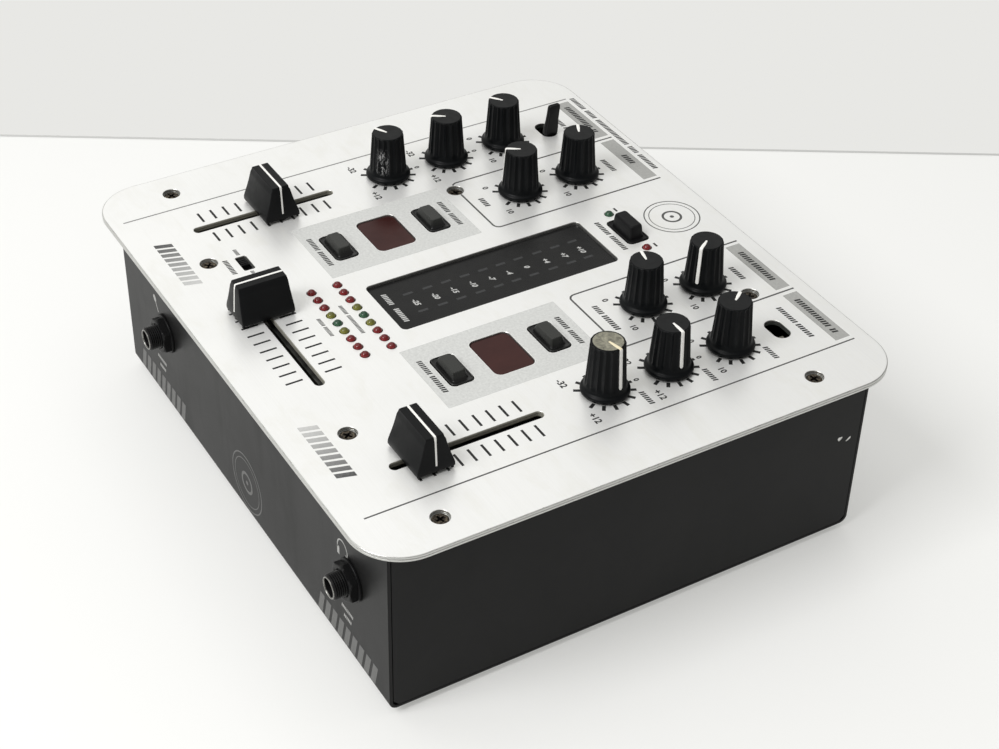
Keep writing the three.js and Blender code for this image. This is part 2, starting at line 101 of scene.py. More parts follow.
class N:
    """Adds nodes to one material's tree."""

    def __init__(self, m):
        self.t = m.node_tree
        self.p = self.t.nodes["Principled BSDF"]
        self.co = None

    def coords(self, scale=(1, 1, 1)):
        if self.co is None:
            self.co = self.t.nodes.new("ShaderNodeTexCoord")
        mp = self.t.nodes.new("ShaderNodeMapping")
        mp.inputs["Scale"].default_value = [s * 1000 for s in scale]
        self.t.links.new(self.co.outputs["Object"], mp.inputs["Vector"])
        return mp.outputs["Vector"]

    def noise(self, scale=(1, 1, 1), detail=3.0, rough=0.55, dist=0.0):
        n = self.t.nodes.new("ShaderNodeTexNoise")
        n.inputs["Scale"].default_value = 1.0
        n.inputs["Detail"].default_value = detail
        n.inputs["Roughness"].default_value = rough
        n.inputs["Distortion"].default_value = dist
        self.t.links.new(self.coords(scale), n.inputs["Vector"])
        return n.outputs["Fac"]

    def voronoi(self, scale=(1, 1, 1), feature="DISTANCE_TO_EDGE"):
        n = self.t.nodes.new("ShaderNodeTexVoronoi")
        n.feature = feature
        n.inputs["Scale"].default_value = 1.0
        self.t.links.new(self.coords(scale), n.inputs["Vector"])
        return n.outputs["Distance"]

    def span(self, fac, a, b, lo, hi):
        n = self.t.nodes.new("ShaderNodeMapRange")
        for k, v in (("From Min", a), ("From Max", b), ("To Min", lo), ("To Max", hi)):
            n.inputs[k].default_value = v
        self.t.links.new(fac, n.inputs["Value"])
        return n.outputs["Result"]

    def math(self, op, a, b=None):
        n = self.t.nodes.new("ShaderNodeMath")
        n.operation = op
        for i, x in enumerate((a, b)):
            if x is None:
                continue
            if isinstance(x, (int, float)):
                n.inputs[i].default_value = x
            else:
                self.t.links.new(x, n.inputs[i])
        return n.outputs[0]

    def axis(self, which):
        if self.co is None:
            self.co = self.t.nodes.new("ShaderNodeTexCoord")
        s = self.t.nodes.new("ShaderNodeSeparateXYZ")
        self.t.links.new(self.co.outputs["Object"], s.inputs[0])
        return self.math("MULTIPLY", s.outputs[which], 1000.0)

    def mix(self, fac, a, b):
        n = self.t.nodes.new("ShaderNodeMix")
        n.data_type = "RGBA"
        for sock, x in ((n.inputs[6], a), (n.inputs[7], b)):
            if isinstance(x, (tuple, list)):
                sock.default_value = (*x[:3], 1)
            else:
                self.t.links.new(x, sock)
        self.t.links.new(fac, n.inputs[0])
        return n.outputs[2]

    def color(self, out):
        self.t.links.new(out, self.p.inputs["Base Color"])

    def rough(self, out):
        self.t.links.new(out, self.p.inputs["Roughness"])

    def bump(self, height, strength=0.3, distance=0.02):
        n = self.t.nodes.new("ShaderNodeBump")
        n.inputs["Strength"].default_value = strength
        n.inputs["Distance"].default_value = distance * MM
        self.t.links.new(height, n.inputs["Height"])
        self.t.links.new(n.outputs["Normal"], self.p.inputs["Normal"])


def plastic(name, base, rough, grain=2.2, grain_depth=0.02, spec=0.5, var=0.12, coat=0.0):
    """Moulded plastic with a fine spark-eroded grain and slight polish differences."""
    m = new_mat(name, base, rough, spec=spec, coat=coat)
    n = N(m)
    lo = [c * (1 - var) for c in base]
    hi = [min(1, c * (1 + var)) for c in base]
    n.color(n.mix(n.noise((0.12, 0.12, 0.12), 4), lo, hi))
    n.rough(n.span(n.noise((0.35, 0.35, 0.35), 5), 0.3, 0.7, rough - 0.06, rough + 0.08))
    n.bump(n.noise((grain, grain, grain), 2), 0.35, grain_depth)
    return m


def m_panel():
    base = (0.86, 0.86, 0.85)
    m = new_mat("brushed_panel", base, 0.38, metal=0.5, spec=0.35)
    n = N(m)
    streak = n.noise((0.012, 5.5, 5.5), 5, 0.7)
    cloud = n.noise((0.018, 0.018, 0.018), 4, 0.6)
    smear = n.noise((0.05, 0.11, 0.1), 6, 0.65, 0.6)
    f = n.math("ADD", n.math("MULTIPLY", streak, 0.55), n.math("MULTIPLY", cloud, 0.45))
    metal = n.mix(n.span(f, 0.3, 0.7, 0, 1), (0.80, 0.80, 0.785), (0.885, 0.885, 0.875))
    n.color(n.mix(n.span(smear, 0.50, 0.70, 0, 0.45), metal, (0.775, 0.768, 0.725)))
    r = n.math("ADD", n.span(streak, 0.25, 0.75, 0.31, 0.42), n.span(smear, 0.45, 0.75, 0.0, 0.07))
    n.rough(r)
    n.bump(streak, 0.10, 0.01)
    return m


def m_edge(name, base, rough):
    m = new_mat(name, base, rough, metal=0.9)
    n = N(m)
    s = n.noise((0.25, 0.25, 9.0), 4)
    n.color(n.mix(n.span(s, 0.3, 0.7, 0, 1), [c * 0.86 for c in base], [min(1, c * 1.08) for c in base]))
    n.rough(n.span(s, 0.3, 0.7, rough - 0.06, rough + 0.08))
    return m


def m_case(name="case_paint", chips=False):
    """Fine powder coat: an orange-peel bump, faint cloudiness, and patches of slightly higher roughness."""
    base = (0.009, 0.009, 0.0092)
    m = new_mat(name, base, 0.5, spec=0.115)
    n = N(m)
    peel = n.noise((1.9, 1.9, 1.9), 3, 0.5)
    cloud = n.noise((0.02, 0.03, 0.025), 5, 0.6, 0.4)
    rub = n.noise((0.06, 0.06, 0.01), 6, 0.7)
    col = n.mix(n.span(cloud, 0.35, 0.7, 0, 1), (0.0072, 0.0072, 0.0074), (0.0115, 0.0115, 0.0114))
    n.color(col)
    n.rough(n.math("ADD", n.span(cloud, 0.3, 0.7, 0.34, 0.41), n.span(rub, 0.5, 0.8, 0.0, 0.06)))
    n.bump(peel, 0.5, 0.03)
    return m


def m_print(name, base, rough=0.5, wear=0.0):
    m = new_mat(name, base, rough, spec=0.3)
    n = N(m)
    v = n.noise((1.1, 1.1, 1.1), 4, 0.6)
    n.color(n.mix(n.span(v, 0.3, 0.75, 0, 1), [c * 0.88 for c in base], [min(1, c * 1.12 + wear) for c in base]))
    return m


def m_fade(name, near, far, a, b):
    """Printed strips that pale towards the middle of the panel."""
    m = new_mat(name, near, 0.5, spec=0.3)
    n = N(m)
    x = n.math("ABSOLUTE", n.axis(0))
    v = n.noise((1.5, 1.5, 1.5), 4)
    f = n.math("ADD", n.span(x, a, b, 0, 1), n.span(v, 0.3, 0.7, -0.06, 0.06))
    n.color(n.mix(f, far, near))
    return m


def m_led(name, base, painted_light):
    """Unlit tinted epoxy, darker at the top of the dome, with painted light: the colour turns lighter towards the
    dome's foot, where light gathers.
    """
    m = new_mat(name, base, 0.18, spec=0.35, coat=0.15, coat_rough=0.05)
    n = N(m)
    v = n.noise((0.9, 0.9, 0.9), 3)
    # painted light: lighter towards the foot of the dome, darker at its top
    f = n.math("ADD", n.span(n.axis(2), ZT + 0.2, ZT + 1.1, 0.85, 0.1), n.span(v, 0.3, 0.7, -0.1, 0.2))
    n.color(n.mix(f, base, painted_light))
    n.rough(n.span(v, 0.3, 0.7, 0.08, 0.16))
    return m


def m_window(name, base, dark, rough, scratched=False):
    m = new_mat(name, base, rough, spec=0.16)
    n = N(m)
    cloud = n.noise((0.06, 0.05, 0.05), 5, 0.6, 0.5)
    n.color(n.mix(n.span(cloud, 0.35, 0.7, 0, 1), dark, base))
    fine = n.noise((0.5, 0.4, 0.4), 6, 0.7)
    if scratched:
        a = n.noise((0.04, 2.2, 1.0), 5, 0.75, 1.4)
        b = n.noise((1.6, 0.05, 1.0), 5, 0.75, 1.7)
        s = n.math("ADD", n.span(a, 0.66, 0.74, 0, 0.16), n.span(b, 0.68, 0.76, 0, 0.14))
        n.rough(n.math("ADD", n.span(fine, 0.3, 0.7, rough - 0.05, rough + 0.08), s))
        n.bump(n.math("ADD", a, b), 0.06, 0.01)
    else:
        n.rough(n.span(fine, 0.3, 0.7, rough - 0.04, rough + 0.07))
    return m


def m_steel(name, base, rough, along=(0.4, 0.4, 3.0)):
    m = new_mat(name, base, rough, metal=1.0)
    n = N(m)
    s = n.noise(along, 4)
    n.color(n.mix(n.span(s, 0.3, 0.7, 0, 1), [c * 0.8 for c in base], [min(1, c * 1.12) for c in base]))
    n.rough(n.span(s, 0.3, 0.7, max(0.05, rough - 0.08), rough + 0.1))
    return m


def m_screw():
    m = new_mat("screw_steel", (0.06, 0.054, 0.046), 0.45, metal=1.0)
    n = N(m)
    s = n.noise((1.3, 1.3, 1.3), 4, 0.6)
    n.color(n.mix(n.span(s, 0.45, 0.68, 0, 1), (0.035, 0.031, 0.027), (0.20, 0.165, 0.12)))
    n.rough(n.span(s, 0.3, 0.7, 0.38, 0.6))
    n.bump(s, 0.3, 0.03)
    return m


MAT = {
    "panel": m_panel(),
    "edge": m_edge("panel_edge", (0.56, 0.56, 0.54), 0.3),
    # painted shade: a dark metal for the groove along the panel's edge
    "edge_painted_shade": m_edge("panel_edge_shade_line", (0.16, 0.16, 0.155), 0.5),
    "case": m_case(),
    "knob": plastic("knob_plastic", (0.0026, 0.0031, 0.0036), 0.38, grain=3.0, grain_depth=0.012, spec=0.10),
    # the knobs' top faces: a lighter copy of the knob plastic, painted light
    "knob_top": plastic("knob_top_plastic_painted_light", (0.0065, 0.0069, 0.0073), 0.5, grain=4.0, grain_depth=0.015, spec=0.2),
    "pointer": plastic("pointer_inlay", (0.80, 0.79, 0.76), 0.4, grain_depth=0.004, var=0.04),
    "pointer_aged": plastic("pointer_inlay_aged", (0.74, 0.66, 0.46), 0.4, grain_depth=0.004, var=0.1),
    "cap": plastic("cap_plastic", (0.0040, 0.0043, 0.0047), 0.36, grain=2.6, grain_depth=0.012, spec=0.12),
    "switch": plastic("switch_plastic", (0.0048, 0.0048, 0.0052), 0.38, grain_depth=0.01, spec=0.15),
    "socket": plastic("socket_plastic", (0.006, 0.006, 0.0063), 0.45, grain_depth=0.02, spec=0.25),
    "jack": plastic("jack_plastic", (0.0055, 0.0055, 0.0058), 0.42, grain_depth=0.02, spec=0.14),
    "cut": plastic("panel_cut_wall", (0.30, 0.29, 0.245), 0.6, grain=1.5, grain_depth=0.03, var=0.25, spec=0.3),
    "lip": m_steel("jack_lip", (0.30, 0.295, 0.28), 0.3),
    "rubber": plastic("foot_rubber", (0.016, 0.016, 0.016), 0.8, grain=1.4, grain_depth=0.05, spec=0.3),
    "black": m_print("print_black", (0.011, 0.011, 0.011)),
    "line": m_print("print_line_grey", (0.075, 0.075, 0.073)),
    "faint": m_print("print_line_worn", (0.20, 0.20, 0.195)),
    "label": m_print("print_label_grey", (0.335, 0.335, 0.322)),
    "area": m_print("print_area_grey", (0.55, 0.555, 0.54), 0.45),
    "fade": m_fade("print_fade", (0.06, 0.06, 0.06), (0.50, 0.50, 0.49), 44, 74),
    "case_print": m_print("case_print_grey", (0.115, 0.115, 0.113)),
    "case_print_lit": m_print("case_print_pale", (0.34, 0.34, 0.33)),
    "meter_print": m_print("meter_print", (0.46, 0.46, 0.45)),
    "meter_bar": m_print("meter_segment", (0.034, 0.035, 0.036)),
    "white": m_print("print_white", (0.76, 0.755, 0.73)),
    "led_red": m_led("led_red", (0.085, 0.005, 0.006), (0.20, 0.014, 0.016)),
    "led_green": m_led("led_green", (0.010, 0.038, 0.020), (0.036, 0.105, 0.055)),
    "led_yellow": m_led("led_yellow", (0.075, 0.075, 0.012), (0.19, 0.19, 0.035)),
    "red_window": m_window("red_window", (0.044, 0.0125, 0.0105), (0.030, 0.0080, 0.0070), 0.2),
    "smoked": m_window("smoked_window", (0.0105, 0.0105, 0.0103), (0.0072, 0.0072, 0.0074), 0.26, True),
    "screw": m_screw(),
    # painted shade: near-black steel for the screws' cross slots
    "screw_slot_shade": m_steel("screw_slot_painted_shade", (0.012, 0.011, 0.010), 0.6),
    "nickel": m_steel("nickel", (0.62, 0.61, 0.58), 0.22),
    "steel": m_steel("fader_steel", (0.30, 0.30, 0.28), 0.38),
    "dull_steel": m_steel("switch_metal", (0.22, 0.21, 0.18), 0.45),
    "brass": m_steel("pin_brass", (0.70, 0.55, 0.28), 0.3),
    "board": plastic("circuit_board", (0.022, 0.085, 0.036), 0.42, grain=0.9, grain_depth=0.02, var=0.25),
    "ivory": plastic("insulator_white", (0.60, 0.59, 0.56), 0.45, grain_depth=0.01, var=0.05),
    "red_plastic": plastic("insulator_red", (0.36, 0.018, 0.018), 0.45, grain_depth=0.01, var=0.08),
}


def m_button():
    """Smoky silicone, with painted light and shade: lighter towards the top, darker towards its foot."""
    m = new_mat("button_rubber", (0.036, 0.037, 0.035), 0.33, spec=0.4)
    n = N(m)
    z = n.axis(2)
    v = n.noise((0.3, 0.3, 0.3), 4)
    # painted light and shade by height: the top lighter, the foot darker
    f = n.math("ADD", n.span(z, ZT + 0.4, ZT + 3.1, 0.0, 0.9), n.span(v, 0.3, 0.7, -0.1, 0.12))
    n.color(n.mix(f, (0.004, 0.004, 0.004), (0.018, 0.019, 0.0165)))
    n.rough(n.span(v, 0.3, 0.7, 0.22, 0.36))
    n.bump(n.noise((2.0, 2.0, 2.0), 2), 0.3, 0.012)
    return m


MAT["button"] = m_button()


def m_scuffed():
    """The knob plastic with pale rubbed streaks on one side."""
    m = plastic("knob_plastic_scuffed", (0.0026, 0.0031, 0.0036), 0.38, grain=3.0, grain_depth=0.012, spec=0.10)
    n = N(m)
    lo, hi = B("ch1_low_knob")
    c = (lo + hi) / 2
    # Streaks sit on the side that faces the front right, on the fluted wall.
    dx = n.math("SUBTRACT", n.axis(0), c.x)
    dy = n.math("SUBTRACT", n.axis(1), c.y)
    side = n.math("ADD", n.math("MULTIPLY", dx, 0.75), n.math("MULTIPLY", dy, -0.66))
    across = n.math("ADD", n.math("MULTIPLY", dx, 0.66), n.math("MULTIPLY", dy, 0.75))
    z = n.axis(2)
    region = n.math("MULTIPLY", n.span(side, 4.2, 5.6, 0, 1), n.span(n.math("ABSOLUTE", n.math("ADD", across, 0.7)), 1.2, 3.0, 1, 0))
    height = n.math("MULTIPLY", n.span(z, ZT + 3.8, ZT + 5.5, 0, 1), n.span(z, ZT + 12.0, ZT + 15.0, 1, 0))
    streak = n.noise((1.0, 1.0, 0.42), 5, 0.7, 1.6)
    f = n.math("MULTIPLY", n.math("MULTIPLY", region, height), n.span(streak, 0.53, 0.60, 0, 0.75))
    old = [l for l in n.t.links if l.to_socket == n.p.inputs["Base Color"]][0].from_socket
    n.color(n.mix(f, old, (0.42, 0.42, 0.42)))
    return m


MAT["knob_scuffed"] = m_scuffed()


def m_worn_top():
    m = new_mat("worn_knob_top", (0.42, 0.40, 0.32), 0.42, spec=0.4)
    n = N(m)
    v = n.noise((0.45, 0.45, 0.45), 6, 0.7, 0.8)
    n.color(n.mix(n.span(v, 0.32, 0.66, 0, 1), (0.070, 0.068, 0.052), (0.30, 0.288, 0.22)))
    n.rough(n.span(v, 0.3, 0.7, 0.3, 0.55))
    n.bump(v, 0.2, 0.03)
    return m


MAT["worn_top"] = m_worn_top()


# ----------------------------------------------------------------- builders
class G:
    """Collects one piece's faces, in millimetres. T maps a local point to the row frame."""

    def __init__(self, T=None):
        self.v, self.f, self.m, self.s = [], [], [], []
        self.T = T or (lambda x, y, z: (x, y, z))

    def add(self, verts, faces, mat=0, smooth=False):
        o = len(self.v)
        self.v += [self.T(*p) for p in verts]
        self.f += [tuple(i + o for i in f) for f in faces]
        self.m += [mat] * len(faces)
        self.s += [smooth] * len(faces)

    def loft(self, rings, mat=0, smooth=True, cap0=True, cap1=True, closed=False, cap_mat=None):
        n = len(rings[0])
        verts = [p for r in rings for p in r]
        faces = []
        k = len(rings)
        for i in range(k if closed else k - 1):
            a, b = i * n, ((i + 1) % k) * n
            for j in range(n):
                jn = (j + 1) % n
                faces.append((a + j, a + jn, b + jn, b + j))
        self.add(verts, faces, mat, smooth)
        if not closed:
            cm = mat if cap_mat is None else cap_mat
            if cap0:
                self.add(rings[0], [tuple(reversed(range(n)))], cm, False)
            if cap1:
                self.add(rings[-1], [tuple(range(n))], cm, False)

    def box(self, x0, x1, y0, y1, z0, z1, mat=0, slant=0.0):
        s = slant
        v = [(x0, y0, z0), (x1, y0, z0), (x1 + s, y1, z0), (x0 + s, y1, z0),
             (x0, y0, z1), (x1, y0, z1), (x1 + s, y1, z1), (x0 + s, y1, z1)]
        self.add(v, [(3, 2, 1, 0), (4, 5, 6, 7), (0, 1, 5, 4), (1, 2, 6, 5), (2, 3, 7, 6), (3, 0, 4, 7)], mat)

    def ribbon(self, pts, w, z0, z1, mat=0, closed=False):
        """A flat line of width w through points."""
        n = len(pts)
        rings = []
        for i, p in enumerate(pts):
            a = Vector(pts[i - 1]) if (i > 0 or closed) else None
            b = Vector(pts[(i + 1) % n]) if (i < n - 1 or closed) else None
            p = Vector(p)
            d0 = (p - a).normalized() if a is not None else None
            d1 = (b - p).normalized() if b is not None else None
            if d0 is None: d0 = d1
            if d1 is None: d1 = d0
            t = (d0 + d1).normalized()
            nrm = Vector((-t.y, t.x))
            c = max(0.5, t.dot(d0))
            o = nrm * (w / 2 / c)
            rings.append([(p.x + o.x, p.y + o.y, z0), (p.x - o.x, p.y - o.y, z0), (p.x - o.x, p.y - o.y, z1), (p.x + o.x, p.y + o.y, z1)])
        self.loft(rings, mat, False, closed=closed)

    def build(self, name, mats, body="root", slot=None, replaces=(), sharp=32, merge=True, bevel=None):
        me = bpy.data.meshes.new(name)
        me.from_pydata([(x * MM, y * MM, z * MM) for x, y, z in self.v], [], self.f)
        for m in mats:
            me.materials.append(MAT[m] if isinstance(m, str) else m)
        me.polygons.foreach_set("material_index", self.m)
        me.polygons.foreach_set("use_smooth", self.s)
        bm = bmesh.new()
        bm.from_mesh(me)
        if merge:
            bmesh.ops.remove_doubles(bm, verts=bm.verts, dist=1e-7)
        bmesh.ops.recalc_face_normals(bm, faces=bm.faces)
        crease(bm, sharp)
        bm.to_mesh(me)
        bm.free()
        ob = bpy.data.objects.new(name, me)
        bpy.context.scene.collection.objects.link(ob)
        if bevel:
            add_bevel(ob, *bevel)
        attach(ob, body)
        if replaces:
            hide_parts(*replaces)
        return ob


def crease(bm, deg):
    """Edges sharper than deg, and edges of flat faces, stay hard."""
    t = math.radians(deg)
    for e in bm.edges:
        if len(e.link_faces) != 2 or not all(f.smooth for f in e.link_faces) or e.calc_face_angle(9) > t:
            e.smooth = False


def add_bevel(ob, width, segs=2, angle=30):
    b = ob.modifiers.new("bevel", "BEVEL")
    b.width = width * MM
    b.segments = segs
    b.limit_method = "ANGLE"
    b.angle_limit = math.radians(angle)
    b.use_clamp_overlap = True
    b.harden_normals = True
    return b


def circ(cx, cy, r, n, z=None, a0=0.0):
    p = [(cx + r * math.cos(2 * math.pi * (i + a0) / n), cy + r * math.sin(2 * math.pi * (i + a0) / n)) for i in range(n)]
    return p if z is None else [(x, y, z) for x, y in p]


def rr(cx, cy, w, d, r, n=6, z=None):
    r = max(0.01, min(r, w / 2 - 0.001, d / 2 - 0.001))
    x, y = w / 2 - r, d / 2 - r
    p = []
    for px, py, a in ((x, y, 0), (-x, y, 90), (-x, -y, 180), (x, -y, 270)):
        for i in range(n + 1):
            t = math.radians(a + 90 * i / n)
            p.append((cx + px + r * math.cos(t), cy + py + r * math.sin(t)))
    return p if z is None else [(a, b, z) for a, b in p]


def inside(p, poly):
    x, y = p
    c = False
    j = len(poly) - 1
    for i in range(len(poly)):
        xi, yi = poly[i]; xj, yj = poly[j]
        if (yi > y) != (yj > y) and x < (xj - xi) * (y - yi) / (yj - yi) + xi:
            c = not c
        j = i
    return c


def fill(outer, holes, grid=None):
    """Triangles of an outline with holes: (points, faces)."""
    pts, edges = [], []
    for loop in [outer] + holes:
        o = len(pts)
        pts += [Vector(p) for p in loop]
        edges += [(o + i, o + (i + 1) % len(loop)) for i in range(len(loop))]
    v, e, f, *_ = delaunay_2d_cdt(pts, edges, [], 1, 1e-7)
    boxes = [(min(p[0] for p in h), max(p[0] for p in h), min(p[1] for p in h), max(p[1] for p in h)) for h in holes]
    keep = []
    for t in f:
        cx = sum(v[i].x for i in t) / len(t)
        cy = sum(v[i].y for i in t) / len(t)
        if not inside((cx, cy), outer):
            continue
        if any(b[0] <= cx <= b[1] and b[2] <= cy <= b[3] and inside((cx, cy), h) for b, h in zip(boxes, holes)):
            continue
        keep.append(tuple(t))
    return [(p.x, p.y) for p in v], keep


def plate(g, outer, holes, levels, mat_top=0, mat_side=0, mat_hole=None, mat_bottom=None):
    """outer(off) and each hole(off) give a loop, pulled in or widened by off. levels run from the top: (offset, hole offset, z)."""
    mat_hole = mat_side if mat_hole is None else mat_hole
    mat_bottom = mat_side if mat_bottom is None else mat_bottom
    for k, (lv, m, flip) in enumerate(((levels[0], mat_top, False), (levels[-1], mat_bottom, True))):
        v, f = fill(outer(lv[0]), [h(lv[1]) for h in holes])
        g.add([(x, y, lv[2]) for x, y in v], [tuple(reversed(t)) if flip else t for t in f], m, False)
    g.loft([[(x, y, z) for x, y in outer(a)] for a, b, z in levels], mat_side, True, False, False)
    for h in holes:
        g.loft([[(x, y, z) for x, y in h(b)] for a, b, z in levels], mat_hole, True, False, False)


def text(g, s, x, y, h, w0, w1, mat=0, align="CENTER", shear=0.0):
    c = bpy.data.curves.new("t", "FONT")
    c.body = s
    c.size = h * 1.37 * MM
    c.shear = shear
    c.extrude = (w1 - w0) / 2 * MM
    c.offset = 0.10 * MM
    c.align_x = align
    c.align_y = "CENTER"
    c.resolution_u = 3
    o = bpy.data.objects.new("t", c)
    bpy.context.scene.collection.objects.link(o)
    bpy.context.view_layer.update()
    me = bpy.data.meshes.new_from_object(o.evaluated_get(bpy.context.evaluated_depsgraph_get()))
    z = (w0 + w1) / 2
    g.add([(v.co.x * 1000 + x, v.co.y * 1000 + y, v.co.z * 1000 + z) for v in me.vertices], [tuple(p.vertices) for p in me.polygons], mat)
    bpy.data.objects.remove(o)
    bpy.data.curves.remove(c)
    bpy.data.meshes.remove(me)


def caption(g, x0, x1, y, h, w0, w1, mat=0, words=None):
    """A stand-in for a caption: separate slanted bars in groups. No bar joins another, so none reads as a letter."""
    total = x1 - x0
    stroke, gap, lean = 0.36 * h, 0.21 * h, 0.2 * h
    words = words or [1.0]
    edges, acc = [], x0
    for w in words:
        edges.append((acc, acc + abs(w) * total)) if w > 0 else None
        acc += abs(w) * total
    for a, b in edges:
        n = max(1, round((b - a + gap) / (stroke + gap)))
        pitch = (b - a + gap) / n
        for k in range(n):
            xa = a + k * pitch
            g.box(xa - lean / 2, xa - lean / 2 + pitch - gap, y - h / 2, y + h / 2, w0, w1, mat, lean)


# -------------------------------------------------------------------- panel
KNOBS = ["ch1_low", "ch1_high", "ch1_gain", "ch2_low", "ch2_high", "ch2_gain", "cue_mix", "cue_level", "mic_level", "main_level"]
POINTER = {"ch1_low": -118, "ch1_high": -148, "ch1_gain": -128, "ch2_low": 78, "ch2_high": 90, "ch2_gain": -37,
           "cue_mix": -148, "cue_level": -63, "mic_level": -76, "main_level": 146}
FADERS = ["ch1_fader", "ch2_fader", "crossfader"]
BUTTONS = ["ch1_sync_button", "ch1_beat_button", "ch2_sync_button", "ch2_beat_button", "meter_button"]
SCREWS = ["panel_screw_%02d" % i for i in range(1, 11)]


def knob_c(k):
    # The body is drawn symmetric about its shaft.
    c = mid(k + "_knob")
    return c.x, c.y


def joint_xy(name):
    p = JOINTS[name]["pos_m"]
    return p[0] * 1000, p[1] * 1000


FH = {f: mid(f + "_housing") for f in FADERS}
WIN = {w: (B(w)[0], B(w)[1]) for w in ("ch1_tempo_window", "ch2_tempo_window", "level_meter_window")}
LEV1, LEV2 = joint_xy("ch1_source_flip"), joint_xy("ch2_source_flip")
LED_X = [i * 5.08 for i in range(-4, 5)]
la = B("tempo_led_array")
LED_Y = [(la[0].y + la[1].y) / 2 + 5.05, (la[0].y + la[1].y) / 2 - 5.05]
SLED = {n: mid(n) for n in ("status_led_green", "status_led_red")}
CURVE = (-48.5, -67.7)

holes = []
for k in KNOBS:
    x, y = knob_c(k)
    holes.append(lambda o, x=x, y=y: circ(x, y, 3.9 + o, 28))
for f in FADERS:
    c = FH[f]
    w, d = (3.5, 56.2) if f != "crossfader" else (56.2, 3.5)
    holes.append(lambda o, c=c, w=w, d=d: rr(c.x, c.y, w + 2 * o, d + 2 * o, min(w, d) / 2 + o - 0.01, 8))
for x, y in (LEV1, LEV2):
    holes.append(lambda o, x=x, y=y: rr(x, y, 10.8 + 2 * o, 6.3 + 2 * o, 3.14 + o, 10))
for b in BUTTONS:
    c = mid(b)
    holes.append(lambda o, c=c: rr(c.x, c.y, 16.8 + 2 * o, 9.1 + 2 * o, 2.0 + o, 6))
for w, (lo, hi) in WIN.items():
    c, s = (lo + hi) / 2, hi - lo
    r = 2.6 if "tempo" in w else 2.0
    holes.append(lambda o, c=c, s=s, r=r: rr(c.x, c.y, s.x - 3.4 + 2 * o, s.y - 3.4 + 2 * o, r + o, 7))
for y in LED_Y:
    for x in LED_X:
        holes.append(lambda o, x=x, y=y: circ(x, y, 1.72 + o, 20))
for c in SLED.values():
    holes.append(lambda o, c=c: circ(c.x, c.y, 1.72 + o, 20))
holes.append(lambda o: rr(CURVE[0], CURVE[1], 8.9 + 2 * o, 4.1 + 2 * o, 0.6 + o, 3))
screw_holes = []
for s in SCREWS:
    c = mid(s)
    screw_holes.append(lambda o, c=c: circ(c.x, c.y, 3.2 + o, 36))


def outline(o):
    return rr(0, 0, PW - 2 * o, PD - 2 * o, 18.0 - o, 18)


g = G()
# Face sheet with softly rounded edges, and a backing sheet below it. Between them runs a shallow groove whose dark
# colour is painted shade, so it shows as a fine dark line.
plate(g, outline, holes + screw_holes,
      [(0.42, 0.16, ZT), (0.18, 0.07, ZT - 0.06), (0.05, 0.02, ZT - 0.18), (0.0, 0.0, ZT - 0.42), (0.0, 0.0, ZT - 0.86), (0.1, 0.0, ZT - 0.92)], 0, 1, 1, 1)
face_sheet = g.build("top_panel_face", ["panel", "edge", "cut"], replaces=("top_panel",), slot="brushed_panel", sharp=40)
g = G()
plate(g, lambda o: outline(o + 0.0), holes + [lambda o, c=mid(s): circ(c.x, c.y, 1.8 + o, 20) for s in SCREWS],
      [(0.14, 0.0, ZT - 1.14), (0.03, 0.0, ZT - 1.2), (0.03, 0.0, ZT - 1.84), (0.18, 0.06, ZT - PT)], 0, 0, 0, 0)
backing = g.build("top_panel_backing", ["edge", "edge", "cut"], slot="brushed_panel", sharp=40)
g = G()
# the groove between the two sheets, coloured dark as painted shade
plate(g, lambda o: outline(o + 0.42), holes + screw_holes, [(0, 0.05, ZT - 0.94), (0, 0.05, ZT - 1.12)], 0, 0, 0, 0)
g.build("top_panel_shade_line", ["edge_painted_shade"], slot="brushed_panel")
# The faders' slots are punched, so their walls are duller than the panel's outer edge.
for o in (face_sheet, backing):
    for p in o.data.polygons:
        for f in FADERS:
            dx, dy = abs(p.center.x / MM - FH[f].x), abs(p.center.y / MM - FH[f].y)
            if f == "crossfader":
                dx, dy = dy, dx
            if abs(p.normal.z) < 0.5 and dx < 2.8 and dy < 30:
                p.material_index = 2


# ------------------------------------------------------------ printed marks
P0, P1 = ZT + 0.004, ZT + 0.022
A0, A1 = ZT + 0.002, ZT + 0.008
black, grey, faint, area, label, fade = G(), G(), G(), G(), G(), G()


def cut_area(g, x0, x1, y0, y1, cuts, z0, z1):
    """A printed area that leaves the openings in it free."""
    outer = lambda o: rr((x0 + x1) / 2, (y0 + y1) / 2, x1 - x0, y1 - y0, 0.5, 3)
    plate(g, outer, cuts, [(0, 0.35, z1), (0, 0.35, z0)])


